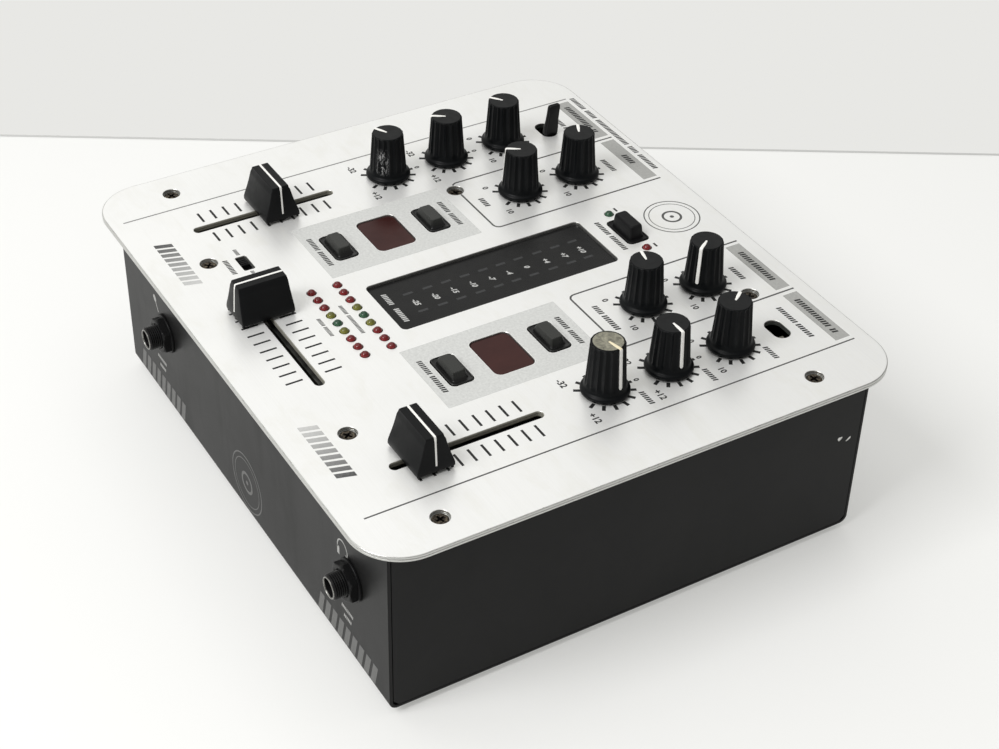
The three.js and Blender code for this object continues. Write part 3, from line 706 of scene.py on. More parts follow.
for side in (-1, 1):
    sx = lambda a, b: (min(side * a, side * b), max(side * a, side * b))
    (grey if side > 0 else faint).ribbon([(side * 93.1, -93.3 if side > 0 else -96.0), (side * 93.1, 95.5)], 0.6, P0, P1)
    # divider round the inner controls
    r, n = 2.4, 6
    pts = [(side * 59.0, 95.5)]
    pts += [(side * (59.0 - r + r * math.cos(t)), 22.45 + r - r * math.sin(t)) for t in [math.pi / 2 * i / n for i in range(n + 1)]]
    pts += [(side * (24.8 + r - r * math.sin(t)), 22.45 + r - r * math.cos(t)) for t in [math.pi / 2 * i / n for i in range(n + 1)]]
    pts += [(side * 24.8, 95.5)]
    hole = next(mid(s) for s in SCREWS if abs(mid(s).x - side * 54.4) < 1 and abs(mid(s).y - 21.9) < 1)
    # the line stops at the screw
    first = [p for p in pts[: n + 2]]
    a = [p for p in first if (Vector(p) - Vector((hole.x, hole.y))).length > 3.5]
    grey.ribbon(a, 0.72, P0, P1)
    grey.ribbon([(hole.x - side * 3.45, 22.45)] + pts[n + 2 :], 0.72, P0, P1)
    # label bars
    for x0, x1 in ((26.6, 57.2), (61.0, 91.1)):
        a, b = sx(x0, x1)
        label.box(a, b, 89.1, 95.2, A0, A1)
    # light grey group
    a, b = sx(24.7, 59.2)
    cuts = []
    for nm in [b_ for b_ in BUTTONS if b_ != "meter_button"]:
        c = mid(nm)
        if c.x * side > 0:
            cuts.append(lambda o, c=c: rr(c.x, c.y, 16.8 + 2 * o, 9.1 + 2 * o, 2.0 + o, 6))
    w = "ch1_tempo_window" if side < 0 else "ch2_tempo_window"
    c = (WIN[w][0] + WIN[w][1]) / 2
    s = WIN[w][1] - WIN[w][0]
    cuts.append(lambda o, c=c, s=s: rr(c.x, c.y, s.x - 3.4 + 2 * o, s.y - 3.4 + 2 * o, 2.6 + o, 7))
    cut_area(area, a, b, -44.7, 16.4, cuts, A0, A1)

# scale rings
for k in KNOBS:
    x, y = knob_c(k)
    for i in range(13):
        t = math.radians(-150 + 25 * i)
        s_, c_ = math.sin(t), math.cos(t)
        black.ribbon([(x + 8.0 * s_, y + 8.0 * c_), (x + 10.5 * s_, y + 10.5 * c_)], 1.26, P0, P1)
    if k.endswith("low") or k.endswith("high"):
        text(black, "-32", x - 10.2, y - 10.6, 2.5, P0, P1)
        text(black, "+12", x + 10.5, y - 10.6, 2.5, P0, P1)
        text(black, "0", x, y + 12.3, 1.9, P0, P1)
    else:
        text(black, "0", x - 8.7, y - 10.3, 2.3, P0, P1)
        text(black, "10", x + 9.6, y - 10.3, 2.3, P0, P1)

# channel fader marks
for f, cx in (("ch1_fader", FH["ch1_fader"].x), ("ch2_fader", FH["ch2_fader"].x)):
    cy = FH[f].y
    for i in range(10):
        y = cy + 22.4 - 4.975 * i
        for s in (-1, 1):
            a, b = sorted((cx + s * 4.0, cx + s * 10.25))
            black.box(a, b, y - 0.45, y + 0.45, P0, P1)
c = FH["crossfader"]
for i in range(10):
    x = -22.4 + 4.975 * i
    for s in (-1, 1):
        a, b = sorted((c.y + s * 4.1, c.y + s * 10.3))
        black.box(x - 0.42, x + 0.42, a, b, P0, P1)

# captions, as plain strokes
cap = lambda x0, x1, y, h, words=None, gg=black: caption(gg, x0, x1, y, h, P0, P1, 0, words)
cap(-92.3, -31.2, 97.75, 2.0, [.155, -.03, .105, -.03, .35, -.03, .085, -.03, .185])
for side in (-1, 1):
    if side > 0:
        cap(65.2, 87.2, 92.15, 2.3, [.82, -.08, .10])
        cap(31.6, 51.4, 92.15, 2.3, [.36, -.05, .59])
        cap(66.0, 85.2, 83.4, 2.0, [.52, -.06, .42])
        cap(37.8, 45.8, 83.3, 2.0)
        cap(34.1, 49.7, 27.4, 2.1, [.33, -.08, .59])
    else:
        cap(-87.2, -65.2, 92.15, 2.3, [.82, -.08, .10])
        cap(-45.3, -38.6, 92.15, 2.3)
        cap(-85.2, -66.0, 83.4, 2.0, [.52, -.06, .42])
        cap(-46.2, -37.4, 82.8, 2.0)
        cap(-44.9, -39.1, 27.4, 2.1)
    for y in (65.5, 40.2, 14.8):
        a, b = sorted((side * 82.2, side * 89.2))
        cap(a, b, y, 1.9)
    a, b = sorted((side * 33.3, side * 50.2))
    cap(a, b, 12.4, 1.9, [.44, -.08, .48])
    a, b = sorted((side * 32.3, side * 51.2))
    cap(a, b, -41.3, 1.9, [.42, -.07, .51])
cap(-8.8, 9.2, -50.0, 1.35, [.3, -.06, .64], grey)
cap(-5.5, 5.6, -60.0, 1.35, [.4, -.08, .52], grey)
cap(-10.0, 10.0, 56.7, 1.9, [.44, -.07, .49])
cap(-53.2, -43.8, -73.6, 1.8)
cap(-58.0, -54.2, -67.7, 1.4, None, grey)
cap(-42.8, -39.2, -67.7, 1.4, None, grey)
black.box(-15.2, -12.8, 67.4, 68.2, P0, P1)
black.box(11.4, 13.8, 67.4, 68.2, P0, P1)

# plain strips at the front corners, and a plain ring at the back
for side in (-1, 1):
    for i in range(9):
        xa = side * (46.2 + 3.25 * i) - 1.1
        fade.box(xa - 0.9, xa + 1.3, -92.1, -85.8, P0, P1, 0, 1.8)
for r0, w in ((10.4, 0.45), (8.6, 0.3), (3.4, 0.9)):
    grey.ribbon(circ(0, 83.8, r0, 72), w, P0, P1, closed=True)
grey.loft([circ(0, 83.8, 0.8, 24, P0), circ(0, 83.8, 0.8, 24, P1)], smooth=False)

area.build("print_group_areas", ["area"])
label.build("print_label_bars", ["label"])
black.build("print_scales", ["black"])
grey.build("print_lines", ["line"])
faint.build("print_left_line", ["faint"])
fade.build("print_corner_strips", ["fade"])


# --------------------------------------------------------------------- knobs
def knob(k):
    node = k + "_knob"
    lo, hi = B(node)
    cx, cy = knob_c(k)
    top = hi.z
    z0 = ZT + 0.5
    H = top - z0
    worn = k == "ch2_low"
    n, flutes = 216, 18
    # (z above the skirt's foot, radius, depth of the flutes)
    prof = [(0.0, 7.8, 0), (0.1, 8.14, 0), (0.35, 8.36, 0), (0.75, 8.44, 0), (1.2, 8.42, 0), (1.6, 8.26, 0), (1.85, 8.0, 0), (2.02, 7.72, 0), (2.25, 7.45, 0),
            (2.6, 7.25, 0), (3.05, 7.12, 0), (3.45, 7.05, 0.05), (3.8, 7.01, 0.2), (4.3, 6.97, 0.42), (5.2, 6.9, 0.52)]
    for i in range(1, 7):
        z = 5.2 + (H - 1.9 - 5.2) * i / 6
        prof.append((z, 6.9 - 0.82 * i / 6, 0.52))
    zt = H - 1.9
    prof += [(H - 1.2, 6.06, 0.52), (H - 0.75, 6.03, 0.50), (H - 0.48, 5.99, 0.42), (H - 0.3, 5.93, 0.28), (H - 0.14, 5.82, 0.12),
             (H - 0.03, 5.62, 0), (H, 5.34, 0), (H, 5.12, 0), (H, 3.0, 0), (H, 1.2, 0)]
    pa = math.radians(90 - POINTER[k])
    g = G()
    rings = []
    for z, r, d in prof:
        ring = []
        for i in range(n):
            a = 2 * math.pi * i / n
            f = abs(math.cos(flutes / 2 * (a - pa)))
            rad = r - d * f ** 0.85
            ring.append((cx + rad * math.cos(a), cy + rad * math.sin(a), z0 + z))
        rings.append(ring)
    g.loft(rings, 0, True, True, True)
    # underside hollow is hidden, and the shaft goes down through the panel
    shaft = [circ(cx, cy, 2.95, 32, B(node)[0].z), circ(cx, cy, 2.95, 32, z0 + 0.2)]
    g.loft(shaft, 1, True)
    # face of the top: a rougher copy of the knob plastic, whose lighter colour is painted light on the upward face
    mat_top = "worn_top" if worn else "knob_top"
    body_mat = "knob_scuffed" if k == "ch1_low" else "knob"
    ob = g.build(node + "_body", [body_mat, "nickel", mat_top], BODY_OF[node], "knob_plastic", (node,), sharp=38)
    for p in ob.data.polygons:
        if p.material_index == 0 and p.center.z > (z0 + H - 0.005) * MM and (not worn or math.hypot(p.center.x / MM - cx, p.center.y / MM - cy) < 5.12):
            p.material_index = 2
    # pointer, an inlay that runs over the edge and down the side
    path = [(0.35, H), (3.0, H), (5.2, H), (5.62, H - 0.03), (5.82, H - 0.14), (5.95, H - 0.32), (6.01, H - 0.6), (6.06, H - 1.4)]
    for i in range(0, 9):
        z = H - 1.9 + (4.6 - H + 1.9) * i / 8
        path.append((6.08 + 0.87 * (H - 1.9 - z) / (H - 1.9 - 4.6), z))
    path.append((6.98, 4.15))
    turn = 5  # the inlay is yellowed on the top only
    g = G()
    ux, uy = math.cos(pa), math.sin(pa)
    rings = []
    m = len(path)
    for i, (r, z) in enumerate(path):
        a = path[max(0, i - 1)]; b = path[min(m - 1, i + 1)]
        d = Vector((b[0] - a[0], b[1] - a[1])).normalized()
        nr, nz = -d.y, d.x
        if nz < 0 and nr < 0:
            nr, nz = -nr, -nz
        hw = 0.58
        if i == 0: hw = 0.3
        if i == m - 1: hw = 0.28
        up, dn = 0.10, -0.5
        ring = []
        for s, o in ((-hw, dn), (-hw, up * 0.55), (-hw * 0.8, up), (hw * 0.8, up), (hw, up * 0.55), (hw, dn)):
            rad, zz = r + nr * o, z + nz * o
            ring.append((cx + ux * rad - uy * s, cy + uy * rad + ux * s, z0 + zz))
        rings.append(ring)
    g.loft(rings[:turn], 0, True, True, False)
    g.loft(rings[turn - 1 :], 1, True, False, True)
    g.build(node + "_pointer", ["pointer_aged" if worn else "pointer", "pointer"], BODY_OF[node], sharp=50)


for k in KNOBS:
    knob(k)


# --------------------------------------------------------------- fader caps
def fader_cap(f):
    node = f + "_cap"
    lo, hi = B(node)
    c = (lo + hi) / 2
    along_x = f != "crossfader"  # the cap's long side lies across its slot
    L = (hi.x - lo.x) if along_x else (hi.y - lo.y)
    W = (hi.y - lo.y) if along_x else (hi.x - lo.x)
    zb, zt = lo.z, hi.z
    T = (lambda x, y, z: (c.x + x, c.y + y, z)) if along_x else (lambda x, y, z: (c.x - y, c.y + x, z))
    g = G(T)

    def ring(l, w, z, r=0.5, n=3):
        return [(x, y, z) for x, y in rr(0, 0, l, w, r, n)]

    Lt, Wt = L - 1.6, 6.4
    lv = lambda t: (L + (Lt - L) * t, W + (Wt - W) * t)
    l1, w1 = lv(0.14)
    rings = [ring(L - 0.5, W - 0.5, zb, 0.3), ring(L - 0.1, W - 0.1, zb + 0.12, 0.35), ring(L, W, zb + 0.4, 0.4), ring(L - 0.06, W - 0.12, zb + 1.5, 0.4)]
    for t in (0.2, 0.4, 0.6, 0.78, 0.86):
        l, w = L - 0.06 + (Lt - L) * (t - 0.14) / 0.86, W - 0.1 + (Wt + 0.25 - W + 0.1) * (t - 0.14) / 0.86
        w -= 0.55 * math.sin(math.pi * (t - 0.1) / 0.8) if t < 0.9 else 0
        rings.append(ring(l, w, zb + (zt - zb) * t, 0.4))
    # the ridge's ends are cut back at a slant
    rings += [ring(Lt - 0.1, 6.7, zt - 0.95, 0.35), ring(Lt - 0.35, 6.5, zt - 0.35, 0.35), ring(Lt - 0.62, 6.35, zt - 0.09, 0.35), ring(Lt - 1.0, 6.0, zt, 0.3)]
    g.loft(rings, 0, True)
    # small feet under both ends
    for sx_ in (-1, 1):
        for y in (-W / 2 + 0.9, 0, W / 2 - 0.9):
            x = sx_ * (L / 2 - 0.75)
            g.box(x - 0.5, x + 0.5, y - 0.4, y + 0.4, zb - 0.75, zb + 0.1)
    g.build(node + "_body", ["cap"], BODY_OF[node], "cap_plastic", (node,), sharp=24)
    # the white line over the ridge and down both ends
    g = G(T)
    half = [(0, zt), (Lt / 2 - 0.5, zt), (Lt / 2 - 0.31, zt - 0.09), (Lt / 2 - 0.175, zt - 0.35), (Lt / 2 - 0.05, zt - 0.95)]
    for t in (0.86, 0.78, 0.6, 0.4, 0.2):
        half.append(((L - 0.06 + (Lt - L) * (t - 0.14) / 0.86) / 2, zb + (zt - zb) * t))
    half.append((L / 2 - 0.02, zb + 2.3))
    path = [(-x, z) for x, z in reversed(half[1:])] + half[1:]
    rings = []
    m = len(path)
    for i, (x, z) in enumerate(path):
        a, b = path[max(0, i - 1)], path[min(m - 1, i + 1)]
        d = Vector((b[0] - a[0], b[1] - a[1])).normalized()
        nx, nz = -d.y, d.x
        hw = 0.40 if zt - z < 1.1 else 0.31
        if i in (0, m - 1): hw = 0.24
        up, dn = 0.05, -0.4
        rings.append([(x + nx * o, s, z + nz * o) for s, o in ((-hw, dn), (-hw, up), (hw, up), (hw, dn))])
    g.loft(rings, 0, False)
    g.build(node + "_line", ["pointer"], BODY_OF[node])


for f in FADERS:
    fader_cap(f)


# ------------------------------------------------------------------- buttons
for b in BUTTONS:
    lo, hi = B(b)
    c = mid(b)
    g = G()
    w, d = 16.4, 8.7
    if b != "meter_button":
        prof = [(w, d, 1.9, -1.6), (w, d, 1.9, 0.1), (w - 0.12, d - 0.12, 1.85, 0.32), (w - 0.45, d - 0.45, 1.7, 0.44), (w - 0.95, d - 0.95, 1.5, 0.42), (w - 1.2, d - 1.2, 1.4, 0.22),
                (13.9, 6.7, 1.2, 0.06), (12.9, 6.2, 1.1, 0.06), (12.5, 5.95, 1.05, 0.3), (11.9, 5.6, 1.0, 1.0), (11.0, 5.0, 0.9, 2.0), (10.45, 4.62, 0.85, 2.6), (10.2, 4.42, 0.8, 2.86), (9.9, 4.16, 0.75, 2.97), (9.5, 3.8, 0.65, 3.0)]
    else:
        prof = [(w, d, 1.9, -1.6), (w, d, 1.9, 0.1), (w - 0.12, d - 0.12, 1.85, 0.32), (w - 0.45, d - 0.45, 1.7, 0.44), (w - 0.95, d - 0.95, 1.5, 0.42), (w - 1.2, d - 1.2, 1.4, 0.22), (14.0, 6.9, 1.3, 0.1), (12.7, 6.3, 1.3, 0.12), (12.4, 6.1, 1.2, 0.5),
                (12.1, 5.8, 1.1, 1.2), (11.8, 5.5, 1.05, 3.2), (11.55, 5.2, 1.0, 4.45), (11.2, 4.85, 0.95, 4.95), (10.6, 4.3, 0.85, 5.22), (9.9, 3.7, 0.7, 5.3)]
    g.loft([rr(c.x, c.y, a, bb, r, 7, ZT + z) for a, bb, r, z in prof], 0, True)
    # the plunger below the panel
    g.loft([rr(c.x, c.y, 13.9, 6.4, 1.2, 7, ZT - 3.6), rr(c.x, c.y, 13.9, 6.4, 1.2, 7, ZT - 1.55)], 0, True)
    g.loft([rr(c.x, c.y, 18.2, 10.2, 2.0, 7, ZT - 4.6), rr(c.x, c.y, 18.2, 10.2, 2.0, 7, ZT - 3.55)], 0, True)
    g.loft([rr(c.x, c.y, 4.9, 4.9, 0.5, 3, lo.z), rr(c.x, c.y, 4.9, 4.9, 0.5, 3, ZT - 4.5)], 0, True)
    m = "switch" if b == "meter_button" else "button"
    g.build(b + "_cap", [m], BODY_OF[b], "switch_plastic" if b == "meter_button" else "button_rubber", (b,), sharp=28)

# ----------------------------------------------------------- source levers
def lever(node, pivot, full):
    p = JOINTS[node.replace("_lever", "_flip")]["pos_m"]
    px, py, pz = [q * 1000 for q in p]
    t = math.radians(9.7)
    ct, st = math.cos(t), math.sin(t)
    T = lambda x, y, z: (px + x * ct + z * st, py + y, pz - x * st + z * ct)
    g = G(T)
    if full:
        g.loft([rr(0, 0, 2.2, 3.2, 0.4, 5, -0.2), rr(0, 0, 2.2, 3.2, 0.4, 5, 15.5), rr(0, 0, 3.0, 5.6, 0.9, 5, 16.9), rr(0, 0, 3.1, 6.1, 1.1, 5, 18.4), rr(0, 0, 3.0, 6.0, 1.1, 5, 20.5),
                rr(0, 0, 2.55, 5.3, 1.0, 5, 24.0), rr(0, 0, 2.35, 5.15, 0.95, 5, 28.0), rr(0, 0, 2.3, 5.2, 0.95, 5, 30.4), rr(0, 0, 2.05, 4.9, 0.85, 5, 31.2), rr(0, 0, 1.3, 4.0, 0.6, 5, 31.6)], 0, True)
        g.build(node + "_bat", ["switch"], BODY_OF[node], "switch_plastic", (node,), sharp=40)
    else:
        g.loft([rr(0, 0, 2.2, 3.2, 0.3, 3, -0.2), rr(0, 0, 2.2, 3.2, 0.3, 3, 14.2), rr(0, 0, 1.9, 2.9, 0.3, 3, 14.6)], 0, True)
        g.build(node + "_stub", ["dull_steel"], BODY_OF[node], "switch_plastic", (node,), sharp=40)


lever("ch1_source_lever", LEV1, True)
lever("ch2_source_lever", LEV2, False)

# ------------------------------------------------------ crossfader curve slide
lo, hi = B("curve_slider")
sx0 = (lo.x + hi.x) / 2
g = G()
g.loft([rr(sx0, CURVE[1], 10.8, 6.8, 0.3, 2, ZT - 3.6), rr(sx0, CURVE[1], 10.8, 6.8, 0.3, 2, ZT - 2.6)], 0, False)
g.loft([rr(sx0, CURVE[1], 4.0, 3.2, 0.3, 3, ZT - 2.65), rr(sx0, CURVE[1], 3.9, 3.1, 0.35, 3, ZT - 1.0), rr(sx0, CURVE[1], 3.5, 2.7, 0.3, 3, ZT - 0.72)], 0, True)
for i in (-1, 0, 1):
    g.box(sx0 + i * 1.05 - 0.22, sx0 + i * 1.05 + 0.22, CURVE[1] - 1.25, CURVE[1] + 1.25, ZT - 0.8, ZT - 0.5)
g.loft([rr(sx0, CURVE[1], 2.4, 2.4, 0.2, 2, lo.z), rr(sx0, CURVE[1], 2.4, 2.4, 0.2, 2, ZT - 3.5)], 0, False)
g.build("curve_slider_knob", ["switch"], BODY_OF["curve_slider"], "switch_plastic", ("curve_slider",), sharp=30)

# -------------------------------------------------------------------- windows
for w, (lo, hi) in WIN.items():
    c, s = (lo + hi) / 2, hi - lo
    W_, D_ = s.x - 3.8, s.y - 3.8
    tempo = "tempo" in w
    r = 2.4 if tempo else 1.8
    z = hi.z
    g = G()
    g.loft([rr(c.x, c.y, W_ + 3.4, D_ + 3.4, r + 1.2, 6, lo.z), rr(c.x, c.y, W_ + 3.4, D_ + 3.4, r + 1.2, 6, ZT - PT - 0.2)], 0, False)
    g.loft([rr(c.x, c.y, W_, D_, r, 8, ZT - PT - 0.3), rr(c.x, c.y, W_, D_, r, 8, z - 0.18), rr(c.x, c.y, W_ - 0.12, D_ - 0.12, r - 0.05, 8, z - 0.05), rr(c.x, c.y, W_ - 0.4, D_ - 0.4, r - 0.2, 8, z)], 0, True)
    g.build(w + "_lens", ["red_window" if tempo else "smoked"], "root", "red_window" if tempo else "smoked_window", (w,), sharp=30)

# level meter scale
lo, hi = WIN["level_meter_window"]
mz = hi.z
g = G()
vals = ["+10", "+7", "+4", "0", "-4", "-7", "-10", "-15", "-20", "-25"]
ys = [43.2, 35.9, 28.2, 20.2, 12.8, 5.5, -2.0, -9.7, -17.2, -25.0]
for v, y in zip(vals, ys):
    text(g, v, 0.5, y, 2.0, mz + 0.003, mz + 0.012, 0, shear=0.25)
caption(g, -8.9, -2.2, -33.0, 1.9, mz + 0.003, mz + 0.012)
caption(g, 0.6, 9.0, -33.0, 1.9, mz + 0.003, mz + 0.012)
g.build("level_meter_scale", ["meter_print"])
g = G()
for y in ys:
    for x in (-5.4, 5.9):
        g.box(x - 0.55, x + 0.55, y - 1.9, y + 1.9, mz + 0.002, mz + 0.006)
g.build("level_meter_segments", ["meter_bar"])


# ----------------------------------------------------------- indicator lights
def led(g, x, y, mat=0):
    R = 1.5
    prof = [(R, -5.0), (R, -0.2), (R, 0.05), (R * 0.985, 0.25), (R * 0.93, 0.52), (R * 0.82, 0.80), (R * 0.64, 1.05), (R * 0.40, 1.22), (R * 0.15, 1.295)]
    g.loft([circ(x, y, r, 28, ZT + z) for r, z in prof], mat, True)


COL = {-4: "r", -3: "r", -2: "r", -1: "y", 0: "g", 1: "y", 2: "r", 3: "r", 4: "r"}
for tag, mat, slot in (("r", "led_red", "led_red"), ("y", "led_yellow", "led_red"), ("g", "led_green", "led_green")):
    g = G()
    for y in LED_Y:
        for i in range(-4, 5):
            if COL[i] == tag:
                led(g, i * 5.08, y)
    g.build("tempo_lights_" + mat[4:], [mat], "root", slot, ("tempo_led_array",), sharp=50)
g = G()
lo, hi = B("tempo_led_array")
g.loft([rr(0, (lo.y + hi.y) / 2, hi.x - lo.x, hi.y - lo.y, 0.6, 3, lo.z), rr(0, (lo.y + hi.y) / 2, hi.x - lo.x, hi.y - lo.y, 0.6, 3, ZT - 4.5)], 0, False)
g.build("tempo_light_block", ["socket"], "root")
for n_, mat in (("status_led_green", "led_green"), ("status_led_red", "led_red")):
    c = SLED[n_]
    g = G()
    led(g, c.x, c.y)
    g.loft([circ(c.x, c.y, 1.1, 12, B(n_)[0].z), circ(c.x, c.y, 1.1, 12, ZT - 4.9)], 1, True)
    g.build(n_ + "_lamp", [mat, "socket"], "root", mat, (n_,), sharp=50)


# --------------------------------------------------------------------- screws
def cross(cx, cy, a, w, z, t0):
    """Outline of a cross slot with arms a long and w wide."""
    p = [(a, -w), (a, w), (w, w), (w, a), (-w, a), (-w, w), (-a, w), (-a, -w), (-w, -w), (-w, -a), (w, -a), (w, -w)]
    c, s = math.cos(t0), math.sin(t0)
    return [(cx + x * c - y * s, cy + x * s + y * c, z) for x, y in p]


for i, s in enumerate(SCREWS):
    lo, hi = B(s)
    c = mid(s)
    t0 = random.uniform(0, math.pi / 2)
    zh = hi.z - 0.4  # the head sits well down in its seat
    g = G()
    n = 48
    # head: rim, gently crowned top with a cross recess
    R = 2.88
    slot_top = [(x, y) for x, y, z in cross(c.x, c.y, 1.72, 0.42, zh, t0)]
    v, f = fill([(x, y) for x, y, z in circ(c.x, c.y, R * 0.80, n, zh)], [slot_top])
    g.add([(x, y, zh) for x, y in v], f, 0, False)
    g.loft([circ(c.x, c.y, R * 0.80, n, zh), circ(c.x, c.y, R * 0.90, n, zh - 0.06), circ(c.x, c.y, R * 0.97, n, zh - 0.2), circ(c.x, c.y, R, n, zh - 0.42), circ(c.x, c.y, R, n, zh - 0.86), circ(c.x, c.y, 1.4, n, zh - 0.88), circ(c.x, c.y, 1.4, n, lo.z + 1.0), circ(c.x, c.y, 0.3, n, lo.z)], 0, True, False, True)
    # the cross slot, in near-black steel as painted shade
    g.loft([cross(c.x, c.y, 1.72, 0.42, zh, t0), cross(c.x, c.y, 1.05, 0.26, zh - 0.75, t0)], 1, False, False, True)
    g.build(s + "_detail", ["screw", "screw_slot_shade"], "root", "screw_steel", (s,), sharp=40)
# --------------------------------------------------------------- front sockets
for nm in ("mic", "phones"):
    node = nm + "_jack"
    lo, hi = B(node)
    nlo, nhi = B(node + "_nut")
    x0, z0 = (nlo.x + nhi.x) / 2, (nlo.z + nhi.z) / 2
    yf = lo.y
    T = lambda x, y, z, x0=x0, z0=z0: (x0 + x, z, z0 + y)

    def ringy(r, y, n=64, rfun=None):
        return [(r * math.cos(2 * math.pi * i / n), r * math.sin(2 * math.pi * i / n), y) for i in range(n)]

    g = G(T)
    prof = [(3.28, yf + 33.4), (3.28, yf + 0.9), (3.32, yf + 0.5)]
    g.loft([ringy(r, y) for r, y in prof], 0, True, True, False)
    lip = [(3.32, yf + 0.5), (3.34, yf + 0.22), (3.42, yf + 0.06), (3.56, yf), (3.7, yf + 0.03), (3.8, yf + 0.12), (3.84, yf + 0.3)]
    g.loft([ringy(r, y) for r, y in lip], 1, True, False, False)
    outer = [(3.84, yf + 0.3), (3.95, yf + 0.32), (4.1, yf + 0.5)]
    y = yf + 0.6
    while y < yf + 12.0:
        outer += [(4.5, y + 0.28), (4.5, y + 0.38), (4.22, y + 0.66), (4.22, y + 0.74)]
        y += 0.74
    outer += [(4.5, yf + 12.2), (4.5, -91.1), (7.5, -91.1), (7.5, yf + 35.4), (0.4, yf + 35.4)]
    g.loft([ringy(r, y) for r, y in outer if y <= yf + 36], 0, True, False, True)
    g.build(node + "_barrel", ["jack", "lip"], "root", "socket_plastic", (node,), sharp=30)

    g = G(T)
    n = 96
    af = 12.7 / 2

    def hexr(a, cap_):
        a = (a + math.pi / 6) % (math.pi / 3) - math.pi / 6
        return min(af / math.cos(a), cap_)

    def hexring(y, cap_, shrink=0.0):
        return [((hexr(2 * math.pi * i / n, cap_) - shrink) * math.cos(2 * math.pi * i / n), (hexr(2 * math.pi * i / n, cap_) - shrink) * math.sin(2 * math.pi * i / n), y) for i in range(n)]

    ny = nlo.y
    rings = [ringy(4.72, nhi.y - 0.02, n), ringy(4.72, ny + 0.4, n), ringy(5.0, ny + 0.12, n), ringy(5.3, ny, n), hexring(ny, 6.15), hexring(ny + 0.12, 6.5), hexring(ny + 0.5, 7.0), hexring(ny + 0.75, 7.4), hexring(nhi.y - 0.92, 7.4)]
    rings += [hexring(nhi.y - 0.86, 6.2), ringy(7.2, nhi.y - 0.84, n), ringy(7.5, nhi.y - 0.76, n), ringy(7.6, nhi.y - 0.6, n), ringy(7.6, nhi.y - 0.02, n)]
    g.loft(rings, 0, True, closed=True)
    g.build(node + "_nut_ring", ["jack"], "root", "socket_plastic", (node + "_nut",), sharp=24)


# --------------------------------------------------------------------- casing
def bool_cut(ob, cutters):
    for cu in cutters:
        m = ob.modifiers.new("cut", "BOOLEAN")
        m.operation = "DIFFERENCE"
        m.solver = "EXACT"
        m.object = cu
    bpy.context.view_layer.update()
    me = bpy.data.meshes.new_from_object(ob.evaluated_get(bpy.context.evaluated_depsgraph_get()))
    ob.modifiers.clear()
    old = ob.data
    ob.data = me
    bpy.data.meshes.remove(old)
    for cu in cutters:
        bpy.data.objects.remove(cu)


def tube_cutter(x, z, r, y0, y1, n=48):
    g = G(lambda a, b, c: (x + a, c, z + b))
    ring = lambda y: [(r * math.cos(2 * math.pi * i / n), r * math.sin(2 * math.pi * i / n), y) for i in range(n)]
    g.loft([ring(y0), ring(y1)], 0, True)
    return raw(g, "cutter")


def raw(g, name):
    me = bpy.data.meshes.new(name)
    me.from_pydata([(x * MM, y * MM, z * MM) for x, y, z in g.v], [], g.f)
    bm = bmesh.new(); bm.from_mesh(me)
    bmesh.ops.remove_doubles(bm, verts=bm.verts, dist=1e-7)
    bmesh.ops.recalc_face_normals(bm, faces=bm.faces)
    bm.to_mesh(me); bm.free()
    ob = bpy.data.objects.new(name, me)
    bpy.context.scene.collection.objects.link(ob)
    return ob


lo, hi = B("chassis_tub")
zc = hi.z
SH, BR = 1.2, 3.0
arc = lambda cy, cz, r, a0, a1, n=10: [(cy + r * math.cos(math.radians(a0 + (a1 - a0) * i / n)), cz + r * math.sin(math.radians(a0 + (a1 - a0) * i / n))) for i in range(n + 1)]
prof = [(YF + 9.0, zc - SH), (YF + 9.0, zc), (YF + 0.9, zc)] + [(YF + 0.9 - 0.9 * math.sin(math.radians(t)), zc - 0.9 + 0.9 * math.cos(math.radians(t))) for t in (30, 60, 90)]
prof += arc(YF + BR, ZB + BR, BR, 180, 270) + arc(YR - BR, ZB + BR, BR, 270, 360)
prof += [(YR - 0.9 + 0.9 * math.sin(math.radians(t)), zc - 0.9 + 0.9 * math.cos(math.radians(t))) for t in (90, 60, 30)]
prof += [(YR - 0.9, zc), (YR - 9.0, zc), (YR - 9.0, zc - SH), (YR - SH, zc - SH)]
prof += arc(YR - BR, ZB + BR, BR - SH, 360, 270) + arc(YF + BR, ZB + BR, BR - SH, 270, 180) + [(YF + SH, zc - SH)]
g = G()
e = 0.22
# The section, run from side to side, with its cut edges eased.
def section(x, inset):
    pts = []
    n = len(prof)
    area2 = sum(prof[i][0] * prof[(i + 1) % n][1] - prof[(i + 1) % n][0] * prof[i][1] for i in range(n))
    sgn = 1 if area2 > 0 else -1
    for i in range(n):
        a, b, c_ = Vector(prof[i - 1]), Vector(prof[i]), Vector(prof[(i + 1) % n])
        d0, d1 = (b - a).normalized(), (c_ - b).normalized()
        n0, n1 = Vector((-d0.y, d0.x)) * sgn, Vector((-d1.y, d1.x)) * sgn
        m_ = (n0 + n1)
        m_ = m_ / max(0.3, m_.length_squared / 2)
        q = b + m_ * inset
        pts.append((x, q.x, q.y))
    return pts
g.loft([section(-CX1, e), section(-CX1 + 0.07, e * 0.35), section(-CX1 + e, 0), section(CX1 - e, 0), section(CX1 - 0.07, e * 0.35), section(CX1, e)], 0, True)
tub = raw(g, "chassis_tub_shell")
cutters = []
for nm in ("mic_jack_nut", "phones_jack_nut"):
    c = mid(nm)
    cutters.append(tube_cutter(c.x, c.z, 4.8, YF - 3, YF + 3))
rlo, rhi = B("rca_socket_block")
RCA_X, RCA_Z = [10, 26, 42, 58], [30, 46]
for x in RCA_X:
    for z in RCA_Z:
        cutters.append(tube_cutter(x, z, 4.5, YR - 3, YR + 3, 40))
cutters.append(tube_cutter(76, 24, 2.4, YR - 3, YR + 3, 32))
plo, phi = B("power_inlet")
pc_ = (plo + phi) / 2
